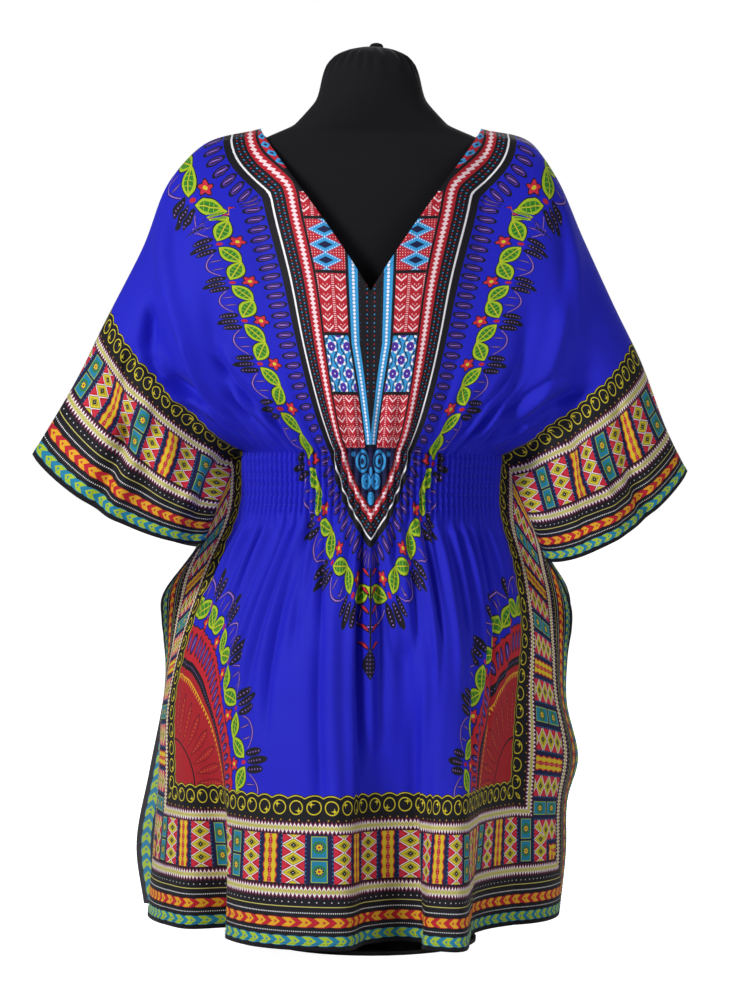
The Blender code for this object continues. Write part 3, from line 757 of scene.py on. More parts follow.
def wired(tree: bpy.types.NodeTree, kind: str, inputs: dict, **settings: Union[str, bool]) -> bpy.types.Node:
    """A new node with its properties and inputs set.

    Args:
        tree: the tree it joins.
        kind: the node's type.
        inputs: a value, or a socket to link, for each input, by name or number.
        settings: the node's own properties.

    Returns:
        The node.
    """
    node = tree.nodes.new(kind)
    for name, value in settings.items():
        setattr(node, name, value)
    for key, value in inputs.items():
        if isinstance(value, Place):
            value = value.socket
        if isinstance(value, bpy.types.NodeSocket):
            tree.links.new(value, node.inputs[key])
        else:
            node.inputs[key].default_value = value
    return node


def mixed(tree: bpy.types.NodeTree, share: Number, below: Union[bpy.types.NodeSocket, tuple],
          above: tuple) -> bpy.types.NodeSocket:
    """Two colours mixed, with this share of the second.

    Args:
        tree: the tree it joins.
        share: how much of the second shows.
        below: the first colour.
        above: the second colour.

    Returns:
        The mixed colour.
    """
    node = wired(tree, "ShaderNodeMix", {0: share, MIX_FIRST: below, MIX_SECOND: above}, data_type="RGBA")
    return node.outputs[MIX_RESULT]


class Place:
    """A number at each place of a surface, worked out by Math nodes of one tree."""

    def __init__(self, tree: bpy.types.NodeTree, socket: bpy.types.NodeSocket) -> None:
        """Hold a socket of the tree."""
        self.tree = tree
        self.socket = socket

    def worked(self, operation: str, *others: Number, clamp: bool = False) -> "Place":
        """The result of one Math node.

        Args:
            operation: the node's operation.
            others: what follows this number in it.
            clamp: whether the result stays between 0 and 1.

        Returns:
            The new number.
        """
        inputs = dict(enumerate((self, *others)))
        node = wired(self.tree, "ShaderNodeMath", inputs, operation=operation, use_clamp=clamp)
        return Place(self.tree, node.outputs[0])

    def __add__(self, other: Number) -> "Place":
        """The sum."""
        return self.worked("ADD", other)

    def __sub__(self, other: Number) -> "Place":
        """The difference."""
        return self.worked("SUBTRACT", other)

    def __mul__(self, other: Number) -> "Place":
        """The product."""
        return self.worked("MULTIPLY", other)

    def scaled(self, by: Number, plus: Number) -> "Place":
        """This number times one and plus another."""
        return self.worked("MULTIPLY_ADD", by, plus)

    def size(self) -> "Place":
        """The number without its sign."""
        return self.worked("ABSOLUTE")

    def least(self, other: Number) -> "Place":
        """The lower of two."""
        return self.worked("MINIMUM", other)

    def most(self, other: Number) -> "Place":
        """The higher of two."""
        return self.worked("MAXIMUM", other)

    def sine(self) -> "Place":
        """The sine of this angle."""
        return self.worked("SINE")

    def above(self, level: Number) -> "Place":
        """1 where this number is above the level."""
        return self.worked("GREATER_THAN", level)

    def below(self, level: Number) -> "Place":
        """1 where this number is below the level."""
        return self.worked("LESS_THAN", level)

    def fraction(self) -> "Place":
        """What the number has beyond its whole part."""
        return self.worked("FRACT")

    def share_of(self, pitch: float, shift: float = 0.0) -> "Place":
        """How far through its repeat each place is, from 0 to 1."""
        return self.scaled(1.0 / pitch, shift).fraction()

    def centred(self, pitch: float, shift: float = 0.0) -> "Place":
        """The distance from the middle of the nearest repeat."""
        return (self.share_of(pitch, 0.5 - shift / pitch) - 0.5) * pitch

    def count_of(self, pitch: float, shift: float = 0.0) -> "Place":
        """The number of the nearest repeat."""
        return self.scaled(1.0 / pitch, 0.5 - shift / pitch).worked("FLOOR")

    def odd(self) -> "Place":
        """1 where this whole number is odd."""
        return (self * 0.5).fraction().above(0.25)

    def wave(self, pitch: float) -> "Place":
        """A sine with this pitch along the number."""
        return (self * (2.0 * math.pi / pitch)).sine()

    def reach(self, other: "Place") -> "Place":
        """The length of the line with these two sides."""
        return (self * self + other * other).worked("SQRT")


class Shape:
    """Distances to the edges of flat shapes: below 0 inside, above 0 outside."""

    @staticmethod
    def band(across: Place, middle: Number, half: Number) -> Place:
        """A straight band."""
        return (across - middle).size() - half

    @staticmethod
    def oval(x: Place, y: Place, half_x: float, half_y: float) -> Place:
        """An oval."""
        return ((x * (1.0 / half_x)).reach(y * (1.0 / half_y)) - 1.0) * min(half_x, half_y)

    @staticmethod
    def diamond(x: Place, y: Place, half_x: float, half_y: float) -> Place:
        """A diamond on its point."""
        slope = half_x * half_y / math.hypot(half_x, half_y)
        return ((x * (1.0 / half_x)).size() + (y * (1.0 / half_y)).size() - 1.0) * slope

    @staticmethod
    def leaf(x: Place, y: Place, half_long: float, half_wide: float) -> Place:
        """A leaf pointed at both ends, long along x."""
        along = x * (1.0 / half_long)
        return y.size() - (along * along).scaled(-half_wide, half_wide)

    @staticmethod
    def box(x: Place, y: Place, half_x: float, half_y: float) -> Place:
        """A rectangle."""
        return (x.size() - half_x).most(y.size() - half_y)


class Contour(NamedTuple):
    """A dye inside an edge moved in by the inset, or on a line along it where the line has a half width."""

    dye: Dye
    inset: float = 0.0
    line: float = 0.0


class Petals(NamedTuple):
    """A dye inside a round, or on a line along it, whose petals swing out and in."""

    dye: Dye
    radius: float
    swing: float = 0.0
    line: float = 0.0


class Spot(NamedTuple):
    """A dye on an oval with its middle and half sizes."""

    dye: Dye
    x: float
    y: float
    half_x: float
    half_y: float


class Beads(NamedTuple):
    """A dye on a row of ovals: the row's level, its pitch, the ovals' half sizes and the row's shift."""

    dye: Dye
    level: float
    pitch: float
    half_across: float
    half_along: float
    shift: float = 0.0


class Stripe(NamedTuple):
    """A dye on a band with its middle and half width, which grows by the swing where its edge swings out."""

    dye: Dye
    middle: float
    half: float
    swing: float = 0.0


class Chain(NamedTuple):
    """A chain of pointed links: where it runs, how long a link is, and its two dyes."""

    level: float
    pitch: float
    low: Dye
    high: Dye


class Print:
    """Dyes laid over each other by Mix nodes of one tree."""

    soft = 0.00035

    def __init__(self, tree: bpy.types.NodeTree, ground: Dye) -> None:
        """Start with the ground colour."""
        self.tree = tree
        self.top: Union[bpy.types.NodeSocket, tuple] = ground.linear()

    def cover(self, distance: Place) -> Place:
        """How far the inside of a shape covers what is under it."""
        return distance.worked("MULTIPLY_ADD", -1.0 / self.soft, 0.5, clamp=True)

    def lay(self, dye: Dye, distance: Place, *within: Place) -> None:
        """Lay a dye on a shape.

        Args:
            dye: the colour.
            distance: the shape.
            within: masks that the shape stays inside.
        """
        mask = self.cover(distance)
        for limit in within:
            mask = mask * limit
        self.fill(dye, mask)

    def fill(self, dye: Dye, mask: Place) -> None:
        """Lay a dye where a mask is 1."""
        self.top = mixed(self.tree, mask, self.top, dye.linear())

    def contours(self, distance: Place, rows: tuple[Contour, ...], *within: Place) -> None:
        """Lay one dye after the other along the edge of a shape.

        Args:
            distance: the shape.
            rows: the dyes, in the order that they are laid in.
            within: masks that they stay inside.
        """
        for dye, inset, line in rows:
            edge = distance + inset if inset else distance
            self.lay(dye, edge.size() - line if line else edge, *within)

    def rosette(self, x: Place, y: Place, lobes: float, rows: tuple[Petals, ...], *within: Place) -> None:
        """Lay one round after the other about the same middle.

        Args:
            x: distance across from the middle.
            y: distance down from it.
            lobes: how many petals a round has.
            rows: the rounds, in the order that they are laid in.
            within: masks that they stay inside.
        """
        radius = x.reach(y)
        petal = (x.worked("ARCTAN2", y) * lobes).sine()
        for dye, size, swing, line in rows:
            edge = radius - (petal.scaled(swing, size) if swing else size)
            self.lay(dye, edge.size() - line if line else edge, *within)

    def spots(self, x: Place, y: Place, rows: tuple[Spot, ...], *within: Place) -> None:
        """Lay single ovals inside the masks."""
        for spot in rows:
            self.lay(spot.dye, Shape.oval(x - spot.x, y - spot.y, spot.half_x, spot.half_y), *within)

    def beads(self, across: Place, along: Place, rows: tuple[Beads, ...], *within: Place) -> None:
        """Lay rows of ovals inside the masks."""
        for row in rows:
            x, y = across - row.level, along.centred(row.pitch, row.shift)
            self.lay(row.dye, Shape.oval(x, y, row.half_across, row.half_along), *within)

    def stripes(self, across: Place, sway: Place, rows: tuple[Stripe, ...], *within: Place) -> None:
        """Lay bands whose edges swing inside the masks."""
        for row in rows:
            half = sway.scaled(row.swing, row.half)
            self.lay(row.dye, Shape.band(across, row.middle, half), *within)


@dataclass(frozen=True)
class BorderPrint:
    """The border that runs round the side edges and the hem, in metres in from the edge."""

    module: float = 0.028
    ring_pitch: float = HALF_PANEL / 28
    ring_level: float = 0.1585
    ring_half: tuple[float, float] = (0.0074, 0.0076)
    ring_line: float = 0.0006
    bud_up: float = 0.0036
    bud_side: float = 0.003
    bud_core: float = 0.0015
    bud_ray: float = 0.0009
    bud_reach: float = 0.0037
    ground_width: float = 0.17
    scallop: float = 0.0032
    scallop_line: Contour = Contour(Dye.YELLOW, 0.0016, 0.00055)
    ring_beads: tuple[Beads, ...] = (Beads(Dye.GOLD, 0.1445, 0.0108, 0.0008, 0.0008),)
    outer_teeth: float = 0.1355
    inner_teeth: float = 0.064
    low_beads: tuple[Beads, ...] = (
        Beads(Dye.WHITE, 0.0525, 0.0074, 0.0006, 0.0006),
        Beads(Dye.WHITE, 0.0408, 0.0023, 0.00065, 0.00065),
        Beads(Dye.WHITE, 0.0205, 0.0023, 0.00055, 0.00055),
    )
    rule: Stripe = Stripe(Dye.CREAM, 0.0475, 0.00045)
    chains: tuple[Chain, ...] = (
        Chain(0.0305, 0.017, Dye.RED, Dye.GOLD),
        Chain(0.0104, 0.016, Dye.TEAL, Dye.LIME),
    )
    link_slant: float = 1.25
    link_half: float = 0.0045
    link_swell: float = 0.0012
    link_head: tuple[float, float, float] = (0.34, 0.27, 0.0048)
    link_eye: tuple[float, float, float] = (0.33, 0.07, 0.0013)
    tooth: float = 0.0046
    teeth_dyes: tuple[Stripe, ...] = (
        Stripe(Dye.MAROON, 0.0, 0.0042, 0.004),
        Stripe(Dye.WHITE, 0.0, 0.0012, 0.0048),
        Stripe(Dye.CREAM, 0.0, 0.001, 0.0024),
    )
    zigzag: float = 0.0026
    zigzag_half: float = 0.00028
    patch_middle: float = 0.1005
    patch_half: float = 0.0275
    seam_beads: tuple[Beads, ...] = (Beads(Dye.SKY, 0.0, 0.0046, 0.0006, 0.0006),)
    column_half: float = 0.0128
    gem_pitch: float = 0.0157
    gem_half: tuple[float, float] = (0.0124, 0.0074)
    gem_dyes: tuple[Contour, ...] = (
        Contour(Dye.WHITE, -0.0006, 0.0006),
        Contour(Dye.YELLOW),
        Contour(Dye.BLACK, 0.0, 0.0003),
        Contour(Dye.BLACK, 0.0032, 0.0003),
    )
    core_half: tuple[float, float] = (0.004, 0.003)
    glint_half: tuple[float, float] = (0.0008, 0.0005)
    side_gem_half: tuple[float, float] = (0.0072, 0.0044)
    tile_half: tuple[float, float] = (0.008, 0.012)
    tile_dyes: tuple[Contour, ...] = (Contour(Dye.TEAL), Contour(Dye.LIME, 0.0, 0.0004))
    tile_petals: float = 8.0
    tile_flower: tuple[Petals, ...] = (
        Petals(Dye.GREEN, 0.0062, 0.0, 0.0009),
        Petals(Dye.NAVY, 0.0048),
        Petals(Dye.YELLOW, 0.0034, 0.0008),
        Petals(Dye.RED, 0.0013),
    )
    sway_pitch: float = 0.011
    strip_dyes: tuple[Stripe, ...] = (
        Stripe(Dye.RED, 0.0, 0.0086, 0.0008),
        Stripe(Dye.GOLD, 0.0046, 0.0027, 0.0008),
        Stripe(Dye.YELLOW, 0.0046, 0.0012, 0.0006),
    )
    strip_beads: tuple[Beads, ...] = (Beads(Dye.ROSE, 0.0, 0.003, 0.0004, 0.0004),)

    def chain(self, ink: Print, d: Place, along: Place, chain: Chain) -> None:
        """A chain of pointed links in two colours."""
        across = (d - chain.level).size()
        link = (along + across * self.link_slant).share_of(chain.pitch)
        swell = (link * math.pi).sine()
        ink.lay(chain.low, across - swell.scaled(self.link_swell, self.link_half))
        for dye, (middle, half, reach) in ((chain.high, self.link_head), (chain.low, self.link_eye)):
            ink.lay(dye, Shape.band(link, middle, half) * chain.pitch, ink.cover(across - reach))

    def teeth(self, ink: Print, across: Place, along: Place) -> None:
        """A cream band with white and maroon points down both sides."""
        tooth = along.centred(self.tooth).size() * (2.0 / self.tooth)
        ink.stripes(across, tooth, self.teeth_dyes)
        ink.lay(Dye.OLIVE, Shape.band(across, tooth.scaled(self.zigzag, -self.zigzag / 2), self.zigzag_half))

    def patchwork(self, ink: Print, d: Place, along: Place) -> None:
        """Columns of diamonds, flowers and beads between the toothed bands.

        Args:
            ink: the print.
            d: distance in from the edge.
            along: distance along it.
        """
        inside = ink.cover(Shape.band(d, self.patch_middle, self.patch_half))
        down = d - self.patch_middle
        ink.fill(Dye.NAVY, inside)
        ink.beads(along.centred(self.module, self.module / 2), down, self.seam_beads, inside)
        local, number = along.centred(self.module), along.count_of(self.module)
        odd, quarter = number.odd(), (number * 0.25).fraction()
        column = inside * odd.scaled(-1.0, 1.0) * ink.cover(local.size() - self.column_half)
        self.gems(ink, local, down, column)
        self.tiles(ink, local, down, inside * odd * quarter.below(0.5))
        strip = inside * odd * quarter.above(0.5)
        ink.stripes(local.size(), down.wave(self.sway_pitch), self.strip_dyes, strip)
        ink.beads(local, down, self.strip_beads, strip)

    def gems(self, ink: Print, local: Place, down: Place, column: Place) -> None:
        """A column of yellow diamonds on red."""
        ink.fill(Dye.RED, column)
        row = down.centred(self.gem_pitch)
        ink.contours(Shape.diamond(local, row, *self.gem_half), self.gem_dyes, column)
        ink.lay(Dye.BLACK, Shape.diamond(local, row, *self.core_half), column)
        ink.lay(Dye.WHITE, Shape.diamond(local, row, *self.glint_half), column)
        between = down.centred(self.gem_pitch, self.gem_pitch / 2)
        side_gem = Shape.diamond(local.size() - self.column_half, between, *self.side_gem_half)
        ink.lay(Dye.CRIMSON, side_gem, column)

    def tiles(self, ink: Print, local: Place, down: Place, column: Place) -> None:
        """Two tiles with a flower in each."""
        square_y = down.centred(self.patch_half, self.patch_half / 2)
        ink.contours(Shape.box(local, square_y, *self.tile_half), self.tile_dyes, column)
        ink.rosette(local, square_y, self.tile_petals, self.tile_flower, column)

    def rings(self, ink: Print, d: Place, along: Place) -> None:
        """Yellow rings on black, with a bud on each."""
        shift = self.ring_pitch / 2
        local, down = along.centred(self.ring_pitch, shift), d - self.ring_level
        ink.lay(Dye.YELLOW, Shape.oval(local, down, *self.ring_half).size() - self.ring_line)
        odd = along.count_of(self.ring_pitch, shift).odd()
        bud_y = down - odd.scaled(2.0 * self.bud_up, -self.bud_up)
        bud_x = local - odd.scaled(-2.0 * self.bud_side, self.bud_side)
        rays = (bud_x.size() * bud_y.size()).worked("SQRT") - self.bud_ray
        ink.lay(Dye.YELLOW, rays, ink.cover(bud_x.reach(bud_y) - self.bud_reach))
        ink.lay(Dye.YELLOW, bud_x.reach(bud_y) - self.bud_core)

    def draw(self, ink: Print, u: Place, v: Place) -> None:
        """Lay the whole border.

        Args:
            ink: the print.
            u: distance across the cut.
            v: distance down the cut.
        """
        from_side = u.size().scaled(-1.0, HALF_PANEL)
        from_hem = v.scaled(-1.0, PANEL_LENGTH)
        d = from_side.least(from_hem)
        along = from_side.most(from_hem)
        lobe = along.wave(2.0 * self.ring_pitch).size()
        edge = d - lobe.scaled(self.scallop, self.ground_width)
        ink.lay(Dye.BLACK, edge)
        ink.contours(edge, (self.scallop_line,))
        self.rings(ink, d, along)
        ink.beads(d, along, self.ring_beads)
        self.teeth(ink, d - self.outer_teeth, along)
        self.patchwork(ink, d, along)
        self.teeth(ink, d - self.inner_teeth, along)
        ink.beads(d, along, self.low_beads)
        ink.lay(self.rule.dye, Shape.band(d, self.rule.middle, self.rule.half))
        for chain in self.chains:
            self.chain(ink, d, along, chain)


@dataclass(frozen=True)
class NeckPrint:
    """The long shield under the neck, its row of ovals and its band of leaves.

    Levels outside the white line are above 0 and those inside it below 0.
    """

    shield_length: float = 0.5
    shield_half: float = 0.2
    shield_lines: tuple[Contour, ...] = (Contour(Dye.BLACK, -0.0095), Contour(Dye.WHITE, 0.0, 0.0011))
    line_beads: tuple[Beads, ...] = (
        Beads(Dye.SKY, -0.006, 0.0068, 0.0008, 0.0008),
        Beads(Dye.RED, -0.006, 0.0068, 0.0008, 0.0008, 0.0034),
        Beads(Dye.SKY, -0.0112, 0.0068, 0.0008, 0.0008, 0.0034),
        Beads(Dye.RED, -0.0112, 0.0068, 0.0008, 0.0008),
    )
    red_band: Stripe = Stripe(Dye.RED, -0.0215, 0.0062)
    teeth: Stripe = Stripe(Dye.ROSE, -0.0215, 0.0006, 0.003)
    tooth_pitch: float = 0.005
    band_beads: tuple[Beads, ...] = (
        Beads(Dye.BRICK, -0.0168, 0.0044, 0.001, 0.0012),
        Beads(Dye.BRICK, -0.0262, 0.0044, 0.001, 0.0012),
    )
    slit_from: float = 0.02
    slit_to: float = 0.005
    slit_start: float = 0.0565
    slit_slope: float = -0.145
    slit_edge: float = 0.0085
    slit_middle: float = 0.255
    slit_half: float = 0.108
    slit_lines: tuple[Contour, ...] = (Contour(Dye.BLACK, -0.0085), Contour(Dye.SKY, 0.0, 0.0052))
    slit_beads: tuple[Beads, ...] = (Beads(Dye.WHITE, 0.0, 0.0042, 0.0016, 0.0017),)
    inside_slit: float = 0.007
    inside_pitch: float = 0.009
    inside_beads: tuple[Beads, ...] = (
        Beads(Dye.SKY, 0.0, 0.0095, 0.0008, 0.0008),
        Beads(Dye.RED, 0.0, 0.0095, 0.0007, 0.0007, 0.00475),
    )
    panel_inset: float = 0.0305
    panel_top: float = 0.08
    rules: tuple[float, ...] = (0.11, 0.1715, 0.241, 0.3065)
    rule_half: float = 0.0018
    shoulder_inset: float = 0.031
    shoulder_length: float = 0.052
    shoulder_gem: tuple[float, float, float, float] = (-0.035, 0.011, 0.005, 0.0046)
    shoulder_dyes: tuple[Contour, ...] = (Contour(Dye.SKY), Contour(Dye.NAVY, 0.0022))
    tip_from: float = 0.3665
    chevron_pitch: tuple[float, float] = (0.018, 0.0112)
    chevron_shift: float = 0.035
    chevron_slope: float = 0.85
    chevron: Stripe = Stripe(Dye.ROSE, 0.0022, 0.0011)
    chevron_reach: float = 0.006
    dot_rank: tuple[float, float] = (-0.0026, 0.0007)
    dot_column: tuple[float, float] = (0.0082, 0.0006)
    dot_pitch: float = 0.0024
    dot_half: float = 0.0005
    gem_field: tuple[float, float] = (0.14, 0.03)
    gem_at: float = 0.05
    gem_rows: tuple[float, float] = (0.0175, 0.001)
    gem_half: tuple[float, float] = (0.0185, 0.0094)
    gem_core: tuple[float, float] = (0.0085, 0.0042)
    gem_dyes: tuple[Contour, ...] = (Contour(Dye.RED, -0.0012), Contour(Dye.SKY))
    ground_pitch: float = 0.003
    ground_beads: tuple[Beads, ...] = (Beads(Dye.ROSE, 0.0, 0.0029, 0.0005, 0.0005),)
    edge_bead: tuple[float, float, float] = (0.0026, 0.0011, 0.0006)
    flower_field: tuple[float, float] = (0.2735, 0.032)
    flower_pitch: tuple[float, float] = (0.021, 0.015)
    flower_petals: float = 5.0
    flower: tuple[Petals, ...] = (
        Petals(Dye.NAVY, 0.0086, 0.0, 0.0007),
        Petals(Dye.WHITE, 0.0066, 0.0016),
        Petals(Dye.PURPLE, 0.0052),
        Petals(Dye.WHITE, 0.0009),
    )
    scroll_rings: tuple[Spot, ...] = (
        Spot(Dye.SKY, 0.019, 0.383, 0.0125, 0.0125),
        Spot(Dye.SKY, 0.0105, 0.408, 0.0085, 0.0085),
        Spot(Dye.SKY, 0.0, 0.429, 0.006, 0.006),
    )
    scroll_shares: tuple[float, float] = (1.0, 0.46)
    scroll_line: float = 0.0019
    scroll_spots: tuple[Spot, ...] = (
        Spot(Dye.SKY, 0.04, 0.374, 0.005, 0.0035),
        Spot(Dye.SKY, 0.0, 0.396, 0.0024, 0.006),
    )
    oval_pitch: float = 0.0112
    oval_level: float = 0.0225
    oval_lean: float = 0.1
    oval_half: tuple[float, float] = (0.004, 0.0122)
    oval_dyes: tuple[Contour, ...] = (
        Contour(Dye.BLACK),
        Contour(Dye.PURPLE, 0.0011),
        Contour(Dye.BLACK, 0.0019),
    )
    oval_core: tuple[Spot, ...] = (Spot(Dye.LILAC, 0.0, 0.0, 0.0007, 0.0062),)

    def shield(self, ink: Print, d: Place, u: Place, v: Place, front: Place) -> None:
        """The shield's lines, its red band, its fields and the blue slit.

        Args:
            ink: the print.
            d: distance outside the white line.
            u: distance across the cut.
            v: distance down the cut.
            front: 1 on the front panel.
        """
        half = u.size()
        inside = v.below(self.shield_length) * half.below(self.shield_half)
        ink.contours(d, self.shield_lines, inside)
        ink.beads(d, v, self.line_beads, inside)
        ink.lay(self.red_band.dye, Shape.band(d, self.red_band.middle, self.red_band.half), inside)
        tooth = v.centred(self.tooth_pitch).size() * (2.0 / self.tooth_pitch)
        ink.stripes(d, tooth, (self.teeth,), inside)
        ink.beads(d, v, self.band_beads, inside)
        slit = v.scaled(self.slit_slope, self.slit_start).least(self.slit_from).most(self.slit_to)
        from_slit = half - slit
        field_edge = ink.cover(d + self.panel_inset)
        outside_slit = ink.cover((from_slit - self.slit_edge) * -1.0)
        panel = inside * field_edge * outside_slit * v.above(front * self.panel_top)
        self.chevrons(ink, u, v, panel)
        self.diamonds(ink, u, v, panel)
        self.flowers(ink, u, v, panel)
        for level in self.rules:
            ink.lay(Dye.BLACK, Shape.band(v, level, self.rule_half), panel)
        shoulder = inside * front * ink.cover(d + self.shoulder_inset) * v.below(self.shoulder_length)
        level, pitch, gem_x, gem_y = self.shoulder_gem
        ink.fill(Dye.RED, shoulder)
        ink.contours(Shape.diamond(d - level, v.centred(pitch), gem_x, gem_y), self.shoulder_dyes, shoulder)
        self.scrolls(ink, u, v, inside * front * field_edge * ink.cover(v.scaled(-1.0, self.tip_from)))
        cut = inside * front * ink.cover(Shape.band(v, self.slit_middle, self.slit_half))
        ink.contours(from_slit, self.slit_lines, cut)
        ink.beads(from_slit, v, self.slit_beads, cut)
        rows = half.centred(self.inside_pitch, self.inside_pitch / 2)
        ink.beads(rows, v, self.inside_beads, cut * ink.cover(from_slit + self.inside_slit))

    def chevrons(self, ink: Print, u: Place, v: Place, panel: Place) -> None:
        """Red ground with white chevrons and fine dots."""
        ink.fill(Dye.RED, panel)
        across, down = self.chevron_pitch
        x = u.size().centred(across, self.chevron_shift)
        rank = v.centred(down) + x.size() * self.chevron_slope
        chevron = Shape.band(rank, self.chevron.middle, self.chevron.half)
        ink.lay(self.chevron.dye, chevron, panel * ink.cover(x.size() - self.chevron_reach))
        for line, dotted, place in ((rank, x, self.dot_rank), (x.size(), v, self.dot_column)):
            dots = dotted.centred(self.dot_pitch).size() - self.dot_half
            ink.lay(Dye.ROSE, dots, panel * ink.cover(Shape.band(line, *place)))

    def diamonds(self, ink: Print, u: Place, v: Place, panel: Place) -> None:
        """Blue diamonds on red, edged with dots."""
        here = panel * ink.cover(Shape.band(v, *self.gem_field))
        x, y = u.size() - self.gem_at, v.centred(*self.gem_rows)
        ink.fill(Dye.RED, here)
        ink.beads(x.centred(self.ground_pitch), y, self.ground_beads, here)
        gem = Shape.diamond(x, y, *self.gem_half)
        ink.contours(gem, self.gem_dyes, here)
        ink.lay(Dye.NAVY, Shape.diamond(x, y, *self.gem_core), here)
        pitch, inset, radius = self.edge_bead
        ink.lay(Dye.WHITE, Shape.oval(x.centred(pitch), gem + inset, radius, radius), here)

    def flowers(self, ink: Print, u: Place, v: Place, panel: Place) -> None:
        """Purple rounds among white petals on blue."""
        here = panel * ink.cover(Shape.band(v, *self.flower_field))
        ink.fill(Dye.SKY, here)
        across, down = self.flower_pitch
        shift = (v.count_of(down) * 0.5).fraction() * across
        x, y = (u.size() + shift).centred(across), v.centred(down)
        ink.rosette(x, y, self.flower_petals, self.flower, here)

    def scrolls(self, ink: Print, u: Place, v: Place, low: Place) -> None:
        """Blue rings in a dark tip."""
        ink.fill(Dye.NAVY, low)
        for ring in self.scroll_rings:
            away = (u.size() - ring.x).reach(v - ring.y)
            for share in self.scroll_shares:
                ink.lay(ring.dye, (away - ring.half_x * share).size() - self.scroll_line, low)
        ink.spots(u.size(), v, self.scroll_spots, low)

    def draw(self, ink: Print, u: Place, v: Place, s: Place, d: Place, front: Place) -> None:
        """Lay the row of ovals, then the shield over it.

        Args:
            ink: the print.
            u: distance across the cut.
            v: distance down the cut.
            s: distance along the white line.
            d: distance outside it.
            front: 1 on the front panel.
        """
        x, y = s.centred(self.oval_pitch), d - self.oval_level
        ink.contours(Shape.oval(x - y * self.oval_lean, y, *self.oval_half), self.oval_dyes)
        ink.spots(x, y, self.oval_core)
        self.shield(ink, d, u, v, front)


